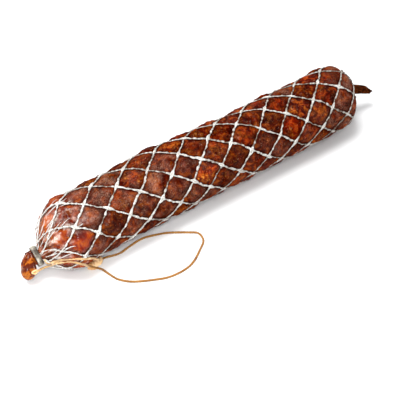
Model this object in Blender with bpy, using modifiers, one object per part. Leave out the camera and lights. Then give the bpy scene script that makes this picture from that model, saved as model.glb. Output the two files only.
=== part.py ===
"""Whole dry-cured sausage in its casing, with a stretched net, a metal clip and a hanging string.

The sausage lies along X: its clipped end with the string is at -X, its dried casing tail at +X.
It rests on the flattened crowns of the casing at z = 0, and the string's loop lies beside it at -Y.
Everything is in metres. Angles round the sausage are counted from +Z towards +Y.
"""
import math

import bmesh
import bpy
from mathutils import Matrix, Vector

# Body: a round bar between a pleated cone at the clip and a low dome at the tail.
CROWN_RADIUS = 0.0313            # over the crowns that the casing makes between the net's cords
AXIS_HEIGHT = 0.0305             # less than the radius: the crowns under the body are pressed flat
GROOVE_DEPTH = 0.0034            # from the crowns down to the bottom of the net's grooves
GATHERED_DEPTH = 0.0029          # the same, where the casing is gathered and has no crowns
CROWN_SHARPNESS = 0.9            # power of the crown's rise from groove to top
NECK_X = -0.1796                 # where the gathered casing meets the clip
CONE_LENGTH = 0.0280
CONE_FULLNESS = 1.5
CONE_TIP_RADIUS = 0.0086
POLE_X = 0.1704                  # the far dome's pole
DOME_LENGTH = 0.0310
DOME_FULLNESS = 2.45
DOME_SLANT = 0.0064              # the dome's +Y side reaches further than its pole, its -Y side less far
SWELL = 0.0014                   # the body thickens this much towards the tail, and stands higher
LIFT = 0.0012
SWELL_START_X = -0.130
SWELL_END_X = 0.130
PLEATS = 14
PLEAT_DEPTH = 0.0005
GATHER_LENGTH = 0.0320           # the crowns fade out over this length towards the clip
DOME_GATHER_LENGTH = 0.0180      # and over this length towards the pole

# The clipped end sways towards -Y and leans down.
SWAY = -0.0012
SWAY_START_X = -0.100
SWAY_END_X = -0.145
LEAN = Vector((0.0, -0.0018, -0.0076))
LEAN_START_X = -0.1446
LEAN_POWER = 2.4

# Bulges: the hand-filled body isn't quite round. Each has a height, an X, a reach along X to about
# a third of its height, and an angle that it faces.
BULGES = (
    (0.0032, -0.1650, 0.012, math.radians(-118.0)),   # belly beside the clip, low on the -Y side
    (0.0024, -0.1735, 0.010, math.radians(75.0)),     # shoulder beside the clip, high on the +Y side
    (0.0023, -0.0580, 0.023, math.radians(54.0)),     # full part of the back
    (-0.0024, 0.0360, 0.026, math.radians(54.0)),     # flat parts of the back
    (-0.0021, 0.1080, 0.040, math.radians(54.0)),
)

# Clip: a metal band closed round the neck, its long axis leaning from +Z towards +Y.
CLIP_X = -0.1827
CLIP_ANGLE = math.radians(56.6)
CLIP_WIDTH = 0.0052              # along X
CLIP_HALF_LENGTH = 0.0094
CLIP_HALF_DEPTH = 0.0042
CLIP_WALL = 0.0019
CLIP_GAP = 0.0004
NECK_HALF_LENGTH = CLIP_HALF_LENGTH - CLIP_WALL - CLIP_GAP
NECK_HALF_DEPTH = CLIP_HALF_DEPTH - CLIP_WALL - CLIP_GAP
NECK_TIP_X = -0.1905             # inside the knob
NECK_FLATNESS = 0.6              # depth by length of the neck's oval where it leaves the clip
ROUNDING_LENGTH = 0.0080         # the flat neck turns round over this length of the cone

# Knob: the casing's free end beyond the clip, a soft pouch that hangs down.
KNOB_CENTRE = Vector((-0.1921, -0.0050, 0.0180))
KNOB_AXIS = Vector((0.34, 0.26, 0.90))
KNOB_HALF_LENGTH = 0.0128
KNOB_HALF_WIDTH = 0.0068
KNOB_HALF_DEPTH = 0.0060

# Tail: the dried end of the casing beyond the far dome, bent down and towards -Y.
TAIL_RADIUS = 0.0046
TAIL_LENGTH = 0.0275
TAIL_BEND = Vector((0.0, -0.0055, -0.0106))
TAIL_TAPER_POWER = 8.0
TAIL_ROW_CROWDING = 1.5          # the rows crowd towards the blunt tip
TAIL_FLATNESS = 0.75
TAIL_ROWS = 6

# Net: flat cords that cross in a diamond lattice.
NET_CELLS = 7                    # cells round the body
NET_PERIOD = 0.0323              # length of two rows of crossings
NET_ROW_X = -0.0221              # row 0 of the crossings
NET_PHASE = math.radians(-31.8)
NET_TWIST = math.radians(32.4)   # per metre of length
NET_DEPTH = 0.0016               # of the cord's middle under the crowns, at a crossing
NET_LOWEST = 0.0010              # the middle of its cords, under the body
NET_CORD_WIDTH = 0.0024
NET_CORD_THICKNESS = 0.0010
FIRST_BAR_ROW = -7               # first and last rows of crossings on the round bar
LAST_BAR_ROW = 10
LAST_BENT_ROW = 11               # beyond it the dome's face is flat
CLIP_END_GATHER_X = NECK_X + 0.0012
TAIL_END_GATHER_RADIUS = 0.0082

# String: tied to the clip and to the knob, it runs along the belly to a knot and ends in a loop.
STRING_RADIUS = 0.0008
UPPER_LEAD_ROUTE = (
    (-0.1788, -0.0104, 0.0230),
    (-0.1786, -0.0120, 0.0212),
    (-0.1781, -0.0137, 0.0206),
    (-0.1758, -0.0171, 0.0236),
    (-0.1738, -0.0193, 0.0259),
    (-0.1713, -0.0208, 0.0269),
    (-0.1680, -0.0236, 0.0287),
    (-0.1631, -0.0282, 0.0307),
    (-0.1592, -0.0308, 0.0309),
    (-0.1557, -0.0332, 0.0306),
    (-0.1523, -0.0337, 0.0286),
    (-0.1488, -0.0330, 0.0259),
    (-0.1439, -0.0317, 0.0213),
    (-0.1405, -0.0304, 0.0155),
    (-0.1382, -0.0276, 0.0100),
    (-0.1374, -0.0252, 0.0064),
)
LOWER_LEAD_ROUTE = (
    (-0.1871, -0.0115, 0.0142),
    (-0.1848, -0.0108, 0.0141),
    (-0.1813, -0.0115, 0.0148),
    (-0.1781, -0.0128, 0.0157),
    (-0.1758, -0.0158, 0.0188),
    (-0.1742, -0.0192, 0.0232),
    (-0.1715, -0.0220, 0.0252),
    (-0.1674, -0.0242, 0.0258),
    (-0.1634, -0.0282, 0.0278),
    (-0.1601, -0.0309, 0.0268),
    (-0.1570, -0.0337, 0.0254),
    (-0.1526, -0.0324, 0.0195),
    (-0.1500, -0.0302, 0.0130),
    (-0.1477, -0.0264, 0.0072),
)
LOOP_ROUTE = (
    (-0.1318, -0.0222, 0.0014),
    (-0.1296, -0.0217, 0.0010),
    (-0.1166, -0.0251, 0.0010),
    (-0.1053, -0.0235, 0.0010),
    (-0.0912, -0.0224, 0.0010),
    (-0.0796, -0.0256, 0.0010),
    (-0.0680, -0.0304, 0.0010),
    (-0.0532, -0.0403, 0.0010),
    (-0.0465, -0.0461, 0.0010),
    (-0.0475, -0.0553, 0.0010),
    (-0.0555, -0.0620, 0.0010),
    (-0.0686, -0.0702, 0.0010),
    (-0.0798, -0.0728, 0.0010),
    (-0.0926, -0.0721, 0.0010),
    (-0.1034, -0.0684, 0.0010),
    (-0.1221, -0.0585, 0.0010),
    (-0.1314, -0.0494, 0.0010),
    (-0.1347, -0.0419, 0.0010),
    (-0.1377, -0.0320, 0.0010),
    (-0.1402, -0.0287, 0.0013),
)

# Knot: a round left lobe and a flatter right lobe, lying on the ground beside the belly.
LEFT_LOBE_CENTRE = Vector((-0.1448, -0.0227, 0.0030))
LEFT_LOBE_HALVES = (0.0033, 0.0030, 0.0028)
RIGHT_LOBE_CENTRE = Vector((-0.1381, -0.0236, 0.0027))
RIGHT_LOBE_HALVES = (0.0055, 0.0031, 0.0026)
RIGHT_LOBE_TURN = math.radians(8.0)
LOBE_SEGMENTS = 10

# Meshes
COLUMNS = 4 * NET_CELLS          # mesh columns round the casing
BAR_RINGS = 2                    # casing rings for each row of the net, on the bar and at the ends
END_RINGS = 4
BAR_CORD_PIECES = 1              # straight pieces of each net cord between crossings
END_CORD_PIECES = 3
NECK_MARGIN = 0.0007             # the flat neck runs this far past the clip
NECK_RINGS = 2
KNOB_SEGMENTS = 16
KNOB_PINCH = 0.16                # the knob is this much thinner at its top than at its middle
CLIP_POINTS = 20
LEAD_POINTS = 16
LOOP_POINTS = 42


def smoothstep(low, high, value):
    """Ease from 0 at low to 1 at high."""
    t = min(1.0, max(0.0, (value - low) / (high - low)))
    return t * t * (3.0 - 2.0 * t)


def mix(start, end, share):
    return start + (end - start) * share


def swelling(x):
    """0 at the clipped end of the body, 1 at its thicker end."""
    return smoothstep(SWELL_START_X, SWELL_END_X, x)


def dome_run(x):
    """0 where the far dome begins, 1 at its pole."""
    return min(1.0, max(0.0, (x - POLE_X) / DOME_LENGTH + 1.0))


def crown_radius(x):
    """Radius over the crowns at x, from the neck to the far pole."""
    if x < NECK_X + CONE_LENGTH:
        rise = min(1.0, max(0.0, (x - NECK_X) / CONE_LENGTH))
        return mix(CONE_TIP_RADIUS, CROWN_RADIUS, 1.0 - (1.0 - rise) ** CONE_FULLNESS)
    if x > POLE_X - DOME_LENGTH:
        return (CROWN_RADIUS + SWELL) * (1.0 - dome_run(x) ** DOME_FULLNESS) ** (1.0 / DOME_FULLNESS)
    return CROWN_RADIUS + SWELL * swelling(x)


def profile_normal(x):
    """Outward unit normal of the turned profile at x, as its parts along X and along the radius."""
    step = 0.0001
    slope = (crown_radius(x + step) - crown_radius(x - step)) / (2.0 * step)
    size = math.hypot(1.0, slope)
    return -slope / size, 1.0 / size


def centre_line(x):
    """Middle of the section at x."""
    lean = min(1.0, max(0.0, (LEAN_START_X - x) / (LEAN_START_X - NECK_X))) ** LEAN_POWER
    bend = max(0.0, (x - POLE_X) / TAIL_LENGTH)
    sway = SWAY * (1.0 - smoothstep(SWAY_END_X, SWAY_START_X, x))
    return Vector((x, sway, AXIS_HEIGHT + LIFT * swelling(x))) + lean * LEAN + bend * TAIL_BEND


def bulging(x, angle):
    """Height of the bulges at x and angle."""
    total = 0.0
    for height, bulge_x, reach, bulge_angle in BULGES:
        facing = max(0.0, math.cos(angle - bulge_angle))
        total += height * facing * math.exp(-((x - bulge_x) / reach) ** 2)
    return total


def round_point(x, angle, depth):
    """Point of the turned body at x and angle, depth below its crowns."""
    along, outward = profile_normal(x)
    radius = crown_radius(x) + bulging(x, angle) - depth * outward
    slant = DOME_SLANT * dome_run(x) * radius * math.sin(angle) / CROWN_RADIUS
    offset = Vector((slant - depth * along, radius * math.sin(angle), radius * math.cos(angle)))
    return centre_line(x) + offset


def flat_point(x, angle, half_length, half_depth):
    """Point of a flat oval section whose long axis is the clip's."""
    turn = angle - CLIP_ANGLE
    long_part = half_length * math.cos(turn)
    short_part = half_depth * math.sin(turn)
    across = long_part * math.sin(CLIP_ANGLE) + short_part * math.cos(CLIP_ANGLE)
    up = long_part * math.cos(CLIP_ANGLE) - short_part * math.sin(CLIP_ANGLE)
    return centre_line(x) + Vector((0.0, across, up))


def gather_radius_x():
    """Where the far dome has narrowed to the gathered net's radius."""
    share = 1.0 - (TAIL_END_GATHER_RADIUS / (CROWN_RADIUS + SWELL)) ** DOME_FULLNESS
    return POLE_X - DOME_LENGTH * (1.0 - share ** (1.0 / DOME_FULLNESS))


def next_row(x, direction):
    """The net's next row of crossings along the profile, its cords keeping their length."""
    cell_half_width = math.pi * CROWN_RADIUS / NET_CELLS
    cord_length = math.hypot(cell_half_width, NET_PERIOD / 2.0)
    step = 0.0002
    travelled = 0.0
    while True:
        half_width = math.pi * crown_radius(x) / NET_CELLS
        if travelled >= math.sqrt(max(0.0, cord_length ** 2 - half_width ** 2)):
            return x
        if x <= CLIP_END_GATHER_X or x >= gather_radius_x():
            return x
        travelled += math.hypot(step, crown_radius(x + direction * step) - crown_radius(x))
        x += direction * step


def crossing_rows():
    """X of each row of the net's crossings, by row number, from the clip to the tail."""
    rows = {row: NET_ROW_X + row * NET_PERIOD / 2.0 for row in range(FIRST_BAR_ROW, LAST_BAR_ROW + 1)}
    first, last = FIRST_BAR_ROW, LAST_BAR_ROW
    while rows[first] > CLIP_END_GATHER_X:
        rows[first - 1] = max(CLIP_END_GATHER_X, next_row(rows[first], -1))
        first -= 1
    while rows[last] < gather_radius_x():
        rows[last + 1] = min(gather_radius_x(), next_row(rows[last], 1))
        last += 1
    return rows


def net_angle(x, turn):
    """Angle round the body of a lattice line, counted in half cells, with the net's slow twist."""
    return NET_PHASE + NET_TWIST * x + turn * math.pi / NET_CELLS


def in_collection(obj, collection, colour, roughness, metallic=0.0):
    """Put an object in its collection and give it a material of its own."""
    for old in obj.users_collection:
        old.objects.unlink(obj)
    collection.objects.link(obj)
    material = bpy.data.materials.new(obj.name)
    material.use_nodes = True
    shader = material.node_tree.nodes["Principled BSDF"]
    shader.inputs["Base Color"].default_value = (*colour, 1.0)
    shader.inputs["Roughness"].default_value = roughness
    shader.inputs["Metallic"].default_value = metallic
    obj.data.materials.clear()
    obj.data.materials.append(material)


def mesh_object(name, bm):
    mesh = bpy.data.meshes.new(name)
    bm.to_mesh(mesh)
    bm.free()
    mesh.shade_smooth()
    obj = bpy.data.objects.new(name, mesh)
    bpy.context.scene.collection.objects.link(obj)
    return obj


# ---------------------------------------------------------------- casing

def casing_stations(rows):
    """X of every ring of the casing's mesh, fitted to the net's rows, with each ring's net row."""
    stations = []
    numbers = sorted(rows)
    for row in numbers[:-1]:
        straight = FIRST_BAR_ROW - 1 <= row < LAST_BAR_ROW or row > LAST_BENT_ROW
        cuts = BAR_RINGS if straight else END_RINGS
        stations += [(mix(rows[row], rows[row + 1], cut / cuts), row + cut / cuts) for cut in range(cuts)]
    stations.append((rows[numbers[-1]], float(numbers[-1])))
    return stations


def crown_fade(x):
    """1 along the body, 0 at both gathers."""
    fade = smoothstep(CLIP_END_GATHER_X, CLIP_END_GATHER_X + GATHER_LENGTH, x)
    return fade * (1.0 - smoothstep(POLE_X - DOME_GATHER_LENGTH, POLE_X, x))


def relief_depth(row, turn, x):
    """Depth under the crowns' tops: deepest along the net's cords, even where the casing is gathered."""
    swell = abs(math.sin(math.pi * (row + turn) / 2.0) * math.sin(math.pi * (row - turn) / 2.0))
    return mix(GATHERED_DEPTH, GROOVE_DEPTH * (1.0 - swell ** CROWN_SHARPNESS), crown_fade(x))


def casing_point(x, row, turn):
    """Point of the casing between the clip and the tail."""
    angle = net_angle(x, turn)
    gathered = 1.0 - smoothstep(NECK_X, NECK_X + CONE_LENGTH, x)
    pleat = PLEAT_DEPTH * gathered * (1.0 - math.cos(PLEATS * turn * math.pi / NET_CELLS))
    point = round_point(x, angle, relief_depth(row, turn, x) + pleat)
    radius = crown_radius(x) - GROOVE_DEPTH
    flat = flat_point(x, angle, radius, NECK_FLATNESS * radius)
    return mix(flat, point, smoothstep(NECK_X, NECK_X + ROUNDING_LENGTH, x))


def neck_point(x, turn):
    return flat_point(x, net_angle(x, turn), NECK_HALF_LENGTH, NECK_HALF_DEPTH)


def tail_point(share, turn):
    """Point of the dried tail, at a share of its length."""
    x = mix(POLE_X - GROOVE_DEPTH, POLE_X + TAIL_LENGTH, share)
    size = math.sqrt(1.0 - share ** TAIL_TAPER_POWER)
    return flat_point(x, net_angle(x, turn), TAIL_RADIUS * size, TAIL_FLATNESS * TAIL_RADIUS * size)


def casing_rings(stations):
    """One function of the turn for each ring of the casing, from the clip end to the tail."""
    clip_low = CLIP_X - 0.5 * CLIP_WIDTH
    clip_high = CLIP_X + 0.5 * CLIP_WIDTH
    rings = [lambda turn, x=x: neck_point(x, turn) for x in (clip_low - NECK_MARGIN, clip_high + NECK_MARGIN)]
    rings += [lambda turn, x=x, row=row: casing_point(x, row, turn) for x, row in stations]
    shares = [1.0 - (1.0 - step / TAIL_ROWS) ** TAIL_ROW_CROWDING for step in range(TAIL_ROWS)]
    rings += [lambda turn, share=share: tail_point(share, turn) for share in shares]
    return rings


def split_along_relief(bm, place, stations):
    """Split each four-sided face of the relief along the diagonal that lies closer to the true surface."""
    for face in list(bm.faces):
        corners = list(face.verts)
        low = min(place[vert][0] for vert in corners) - NECK_RINGS
        if len(corners) != 4 or not 0 <= low < len(stations) - 1:
            continue
        columns = sorted({place[vert][1] for vert in corners})
        column = columns[1] if columns[1] - columns[0] > 1 else columns[0]
        x, row = (0.5 * (a + b) for a, b in zip(stations[low], stations[low + 1]))
        true_middle = casing_point(x, row, 0.5 * column + 0.25)
        misses = [((corners[i].co + corners[i + 2].co) / 2.0 - true_middle).length for i in (0, 1)]
        start = misses.index(min(misses))
        bmesh.utils.face_split(face, corners[start], corners[start + 2])


def make_sausage(rows, collection, tools):
    stations = casing_stations(rows)
    rings = casing_rings(stations)
    bm = bmesh.new()
    bmesh.ops.create_uvsphere(bm, u_segments=COLUMNS, v_segments=len(rings) + 1, radius=1.0)
    place = {}
    for vert in bm.verts:
        level = round(math.acos(max(-1.0, min(1.0, -vert.co.z))) / math.pi * (len(rings) + 1))
        column = round(math.atan2(vert.co.y, vert.co.x) / math.tau * COLUMNS) % COLUMNS
        place[vert] = (level - 1, column)
    for vert, (ring, column) in place.items():
        if ring < 0:
            vert.co = centre_line(NECK_TIP_X)
        elif ring == len(rings):
            vert.co = centre_line(POLE_X + TAIL_LENGTH)
        else:
            vert.co = rings[ring](0.5 * column)
    split_along_relief(bm, place, stations)
    bmesh.ops.recalc_face_normals(bm, faces=bm.faces)
    pressed = bmesh.ops.bisect_plane(bm, geom=bm.verts[:] + bm.edges[:] + bm.faces[:], dist=1e-6,
                                     plane_co=(0, 0, 0), plane_no=(0, 0, -1), clear_outer=True)
    rims = [cut for cut in pressed["geom_cut"] if isinstance(cut, bmesh.types.BMEdge)]
    bmesh.ops.holes_fill(bm, edges=rims, sides=0)
    bmesh.ops.recalc_face_normals(bm, faces=bm.faces)
    sausage = mesh_object("sausage", bm)
    in_collection(sausage, collection, (0.16, 0.035, 0.015), 0.4)

    joined = sausage.modifiers.new("knob", "BOOLEAN")
    joined.operation = "UNION"
    joined.object = make_knob_form(tools)
    joined.solver = "EXACT"


def make_knob_form(tools):
    """The pouch of casing beyond the clip, joined to the sausage as one solid."""
    bm = bmesh.new()
    bmesh.ops.create_uvsphere(bm, u_segments=KNOB_SEGMENTS, v_segments=KNOB_SEGMENTS // 2 + 1, radius=1.0)
    for vert in bm.verts:
        belly = 1.0 - KNOB_PINCH * vert.co.z
        vert.co.x *= KNOB_HALF_WIDTH * belly
        vert.co.y *= KNOB_HALF_DEPTH * belly
        vert.co.z *= KNOB_HALF_LENGTH
    knob = mesh_object("knob_form", bm)
    knob.location = KNOB_CENTRE
    knob.rotation_mode = "QUATERNION"
    knob.rotation_quaternion = KNOB_AXIS.to_track_quat("Z", "Y")
    knob.hide_render = True
    knob.display_type = "WIRE"
    in_collection(knob, tools, (0.5, 0.5, 0.5), 0.5)
    return knob


# ---------------------------------------------------------------- net

def net_point(rows, row, turn):
    """Point of the net's middle sheet at a place in the lattice, counted in rows and half cells."""
    low = min(max(math.floor(row), min(rows)), max(rows) - 1)
    x = mix(rows[low], rows[low + 1], row - low)
    point = round_point(x, net_angle(x, turn), NET_DEPTH)
    point.z = max(point.z, NET_LOWEST)
    return point


def crossing_corners(bm, rows, row, turn):
    """The four corners where flat cords meet at a crossing, by side."""
    reach = 1 if row + 1 in rows else -1
    radius = crown_radius(rows[row]) - NET_DEPTH * profile_normal(rows[row])[1]
    half_cell = math.pi * radius / NET_CELLS
    spacing = abs(crown_radius(rows[row + reach]) - crown_radius(rows[row]))
    spacing = math.hypot(spacing, rows[row + reach] - rows[row])
    slant = math.atan2(half_cell, spacing)
    aside = 0.5 * NET_CORD_WIDTH / math.cos(slant) / half_cell
    ahead = 0.5 * NET_CORD_WIDTH / math.sin(slant) / spacing
    places = {"left": (row, turn - aside), "right": (row, turn + aside),
              "fore": (row + ahead, turn), "aft": (row - ahead, turn)}
    if row + 1 not in rows:
        del places["fore"]
    if row - 1 not in rows:
        del places["aft"]
    return {side: bm.verts.new(net_point(rows, *place)) for side, place in places.items()}


def make_net(rows, collection):
    """Diamond lattice of flat cords that cross, thickened from its middle sheet."""
    bm = bmesh.new()
    corners = {}
    for row in rows:
        for cell in range(NET_CELLS):
            turn = 2 * cell + row % 2
            corners[row, turn] = crossing_corners(bm, rows, row, turn)
            sides = corners[row, turn]
            bm.faces.new([sides[side] for side in ("aft", "left", "fore", "right") if side in sides])
    for (row, turn), sides in corners.items():
        if row + 1 not in rows:
            continue
        straight = FIRST_BAR_ROW <= row < LAST_BAR_ROW or row > LAST_BENT_ROW
        pieces = BAR_CORD_PIECES if straight else END_CORD_PIECES
        for step, near, far in ((1, "right", "left"), (-1, "left", "right")):
            other = corners[row + 1, (turn + step) % (2 * NET_CELLS)]
            edge_a, edge_b = [sides["fore"]], [sides[near]]
            for piece in range(1, pieces):
                share = piece / pieces
                middle = net_point(rows, row + share, turn + step * share)
                chord = mix(net_point(rows, row, turn), net_point(rows, row + 1, turn + step), share)
                lift = middle - chord
                edge_a.append(bm.verts.new(mix(sides["fore"].co, other[far].co, share) + lift))
                edge_b.append(bm.verts.new(mix(sides[near].co, other["aft"].co, share) + lift))
            edge_a.append(other[far])
            edge_b.append(other["aft"])
            for piece in range(pieces):
                bm.faces.new((edge_a[piece], edge_a[piece + 1], edge_b[piece + 1], edge_b[piece]))
    bmesh.ops.recalc_face_normals(bm, faces=bm.faces)
    net = mesh_object("net", bm)
    in_collection(net, collection, (0.72, 0.70, 0.66), 0.8)
    thick = net.modifiers.new("thickness", "SOLIDIFY")
    thick.thickness = NET_CORD_THICKNESS
    thick.offset = 0.0


# ---------------------------------------------------------------- clip

def make_clip(collection):
    """Rounded metal band: an oval tube bent round a flat oval path."""
    curve = bpy.data.curves.new("clip", "CURVE")
    curve.dimensions = "3D"
    curve.bevel_depth = 0.5 * CLIP_WALL
    curve.bevel_resolution = 2
    path = curve.splines.new("POLY")
    path.use_cyclic_u = True
    path.points.add(CLIP_POINTS - 1)
    corner = CLIP_HALF_DEPTH - 0.5 * CLIP_WALL
    straight = CLIP_HALF_LENGTH - 0.5 * CLIP_WALL - corner
    for number, point in enumerate(path.points):
        angle = math.tau * (number + 0.5) / CLIP_POINTS
        across = corner * math.cos(angle) + math.copysign(straight, math.cos(angle))
        point.co = (across, corner * math.sin(angle), 0.0, 1.0)
    clip = bpy.data.objects.new("clip", curve)
    bpy.context.scene.collection.objects.link(clip)
    clip.matrix_world = clip_frame()
    clip.scale = (1.0, 1.0, CLIP_WIDTH / CLIP_WALL)
    in_collection(clip, collection, (0.62, 0.58, 0.50), 0.35, metallic=1.0)


def clip_frame():
    """Clip's own frame: X along its long axis, Z along the neck."""
    long_axis = Vector((0.0, math.sin(CLIP_ANGLE), math.cos(CLIP_ANGLE)))
    neck_axis = Vector((1.0, 0.0, 0.0))
    short_axis = neck_axis.cross(long_axis)
    frame = Matrix((long_axis, short_axis, neck_axis)).transposed().to_4x4()
    frame.translation = centre_line(CLIP_X)
    return frame


# ---------------------------------------------------------------- string

def along_route(route, share):
    """Point of a smooth curve through the route's points, at a share of their count."""
    place = share * (len(route) - 1)
    low = min(int(place), len(route) - 2)
    numbers = (min(max(low + step, 0), len(route) - 1) for step in range(-1, 3))
    before, start, end, after = (Vector(route[number]) for number in numbers)
    t = place - low
    pull_start = 0.5 * (end - before)
    pull_end = 0.5 * (after - start)
    rise = t * t * (3.0 - 2.0 * t)
    return mix(start, end, rise) + pull_start * t * (1.0 - t) ** 2 - pull_end * t * t * (1.0 - t)


def make_string(name, route, count, collection):
    curve = bpy.data.curves.new(name, "CURVE")
    curve.dimensions = "3D"
    curve.bevel_depth = STRING_RADIUS
    curve.bevel_resolution = 2
    curve.use_fill_caps = True
    path = curve.splines.new("POLY")
    path.points.add(count - 1)
    for number, point in enumerate(path.points):
        point.co = (*along_route(route, number / (count - 1)), 1.0)
    string = bpy.data.objects.new(name, curve)
    bpy.context.scene.collection.objects.link(string)
    in_collection(string, collection, (0.75, 0.45, 0.16), 0.8)


def make_lobe(name, centre, halves, turn, collection):
    bm = bmesh.new()
    bmesh.ops.create_uvsphere(bm, u_segments=LOBE_SEGMENTS, v_segments=LOBE_SEGMENTS // 2, radius=1.0)
    lobe = mesh_object(name, bm)
    lobe.location = centre
    lobe.scale = halves
    lobe.rotation_euler = (0.0, 0.0, turn)
    in_collection(lobe, collection, (0.80, 0.50, 0.20), 0.8)
    return lobe


def make_knot(collection, tools):
    """Two lobes of string pulled together, joined as one solid."""
    knot = make_lobe("string_knot", LEFT_LOBE_CENTRE, LEFT_LOBE_HALVES, 0.0, collection)
    right = make_lobe("right_lobe_form", RIGHT_LOBE_CENTRE, RIGHT_LOBE_HALVES, RIGHT_LOBE_TURN, tools)
    right.hide_render = True
    right.display_type = "WIRE"
    joined = knot.modifiers.new("right_lobe", "BOOLEAN")
    joined.operation = "UNION"
    joined.object = right
    joined.solver = "EXACT"


# ---------------------------------------------------------------- the object

def clear_scene():
    for obj in list(bpy.data.objects):
        bpy.data.objects.remove(obj)


def new_collection(name):
    collection = bpy.data.collections.new(name)
    bpy.context.scene.collection.children.link(collection)
    return collection


def main():
    clear_scene()
    collection = new_collection("cured_sausage")
    tools = new_collection("tools")
    rows = crossing_rows()
    make_sausage(rows, collection, tools)
    make_net(rows, collection)
    make_clip(collection)
    make_string("string_lead_upper", UPPER_LEAD_ROUTE, LEAD_POINTS, collection)
    make_string("string_lead_lower", LOWER_LEAD_ROUTE, LEAD_POINTS, collection)
    make_string("string_loop", LOOP_ROUTE, LOOP_POINTS, collection)
    make_knot(collection, tools)


main()
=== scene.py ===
"""Looks of a dry-cured sausage in a stretched net, with its metal clip and its string.

The sausage lies along X, its clipped end at -X, and the string's loop lies on the ground at -Y.
Lengths are in metres. Angles round the sausage are counted from +Z towards +Y.
"""
import math
import random

import bpy
import numpy as np
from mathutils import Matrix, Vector, noise
from mathutils.kdtree import KDTree


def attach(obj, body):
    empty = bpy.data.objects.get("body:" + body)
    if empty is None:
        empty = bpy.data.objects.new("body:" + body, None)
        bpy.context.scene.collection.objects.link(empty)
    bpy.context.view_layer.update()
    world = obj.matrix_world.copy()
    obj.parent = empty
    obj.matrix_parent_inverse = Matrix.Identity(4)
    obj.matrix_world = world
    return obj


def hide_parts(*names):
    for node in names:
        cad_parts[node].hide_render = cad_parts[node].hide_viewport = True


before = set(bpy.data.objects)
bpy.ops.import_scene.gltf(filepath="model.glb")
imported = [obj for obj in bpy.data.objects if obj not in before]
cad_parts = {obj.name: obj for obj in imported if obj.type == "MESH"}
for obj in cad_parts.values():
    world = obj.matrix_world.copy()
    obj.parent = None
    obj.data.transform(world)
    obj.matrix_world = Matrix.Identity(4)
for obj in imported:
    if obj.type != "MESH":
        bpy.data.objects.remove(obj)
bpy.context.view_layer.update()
rng = random.Random(7)

# ---- sizes shared with the CAD part
CROWN_RADIUS = 0.0313
AXIS_HEIGHT = 0.0305
NECK_X = -0.1796
CONE_LENGTH = 0.0280
CONE_FULLNESS = 1.5
CONE_TIP_RADIUS = 0.0086
POLE_X = 0.1704
DOME_LENGTH = 0.0310
DOME_FULLNESS = 2.45
DOME_SLANT = 0.0064
SWELL = 0.0014
LIFT = 0.0012
SWELL_START_X, SWELL_END_X = -0.130, 0.130
SWAY = -0.0012
SWAY_START_X, SWAY_END_X = -0.100, -0.145
LEAN = np.array((0.0, -0.0018, -0.0076))
LEAN_START_X = -0.1446
LEAN_POWER = 2.4
BULGES = (                       # each one's height, X, reach along X, and the angle that it faces
    (0.0032, -0.1650, 0.012, math.radians(-118.0)),
    (0.0024, -0.1735, 0.010, math.radians(75.0)),
    (0.0023, -0.0580, 0.023, math.radians(54.0)),
    (-0.0024, 0.0360, 0.026, math.radians(54.0)),
    (-0.0021, 0.1080, 0.040, math.radians(54.0)),
)
CLIP_X = -0.1827
CLIP_ANGLE = math.radians(56.6)
CLIP_WIDTH = 0.0052
CLIP_HALF_LENGTH = 0.0094
CLIP_HALF_DEPTH = 0.0042
CLIP_WALL = 0.0019
NECK_HALF_LENGTH = 0.0071
NECK_HALF_DEPTH = 0.0019
NECK_TIP_X = -0.1905
NECK_FLATNESS = 0.6
ROUNDING_LENGTH = 0.0080
KNOB_CENTRE = Vector((-0.1921, -0.0050, 0.0180))
KNOB_AXIS = Vector((0.34, 0.26, 0.90))
KNOB_HALF = (0.0068, 0.0060, 0.0128)
TAIL_RADIUS = 0.0046
TAIL_LENGTH = 0.0275
TAIL_BEND = np.array((0.0, -0.0055, -0.0106))
TAIL_FLATNESS = 0.75
NET_CELLS = 7
NET_PERIOD = 0.0323
NET_ROW_X = -0.0221
NET_PHASE = math.radians(-31.8)
NET_TWIST = math.radians(32.4)
FIRST_BAR_ROW, LAST_BAR_ROW = -7, 10
CLIP_END_GATHER_X = NECK_X + 0.0012
TAIL_END_GATHER_RADIUS = 0.0082
GATHER_LENGTH = 0.0320
DOME_GATHER_LENGTH = 0.0180
STRING_RADIUS = 0.0008
UPPER_LEAD_ROUTE = (
    (-0.1788, -0.0104, 0.0230), (-0.1786, -0.0120, 0.0212), (-0.1781, -0.0137, 0.0206),
    (-0.1758, -0.0171, 0.0236), (-0.1738, -0.0193, 0.0259), (-0.1713, -0.0208, 0.0269),
    (-0.1680, -0.0236, 0.0287), (-0.1631, -0.0282, 0.0307), (-0.1592, -0.0308, 0.0309),
    (-0.1557, -0.0332, 0.0306), (-0.1523, -0.0337, 0.0286), (-0.1488, -0.0330, 0.0259),
    (-0.1439, -0.0317, 0.0213), (-0.1405, -0.0304, 0.0155), (-0.1382, -0.0276, 0.0100),
    (-0.1374, -0.0252, 0.0064),
)
LOWER_LEAD_ROUTE = (
    (-0.1871, -0.0115, 0.0142), (-0.1848, -0.0108, 0.0141), (-0.1813, -0.0115, 0.0148),
    (-0.1781, -0.0128, 0.0157), (-0.1758, -0.0158, 0.0188), (-0.1742, -0.0192, 0.0232),
    (-0.1715, -0.0220, 0.0252), (-0.1674, -0.0242, 0.0258), (-0.1634, -0.0282, 0.0278),
    (-0.1601, -0.0309, 0.0268), (-0.1570, -0.0337, 0.0254), (-0.1526, -0.0324, 0.0195),
    (-0.1500, -0.0302, 0.0130), (-0.1477, -0.0264, 0.0072),
)
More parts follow.
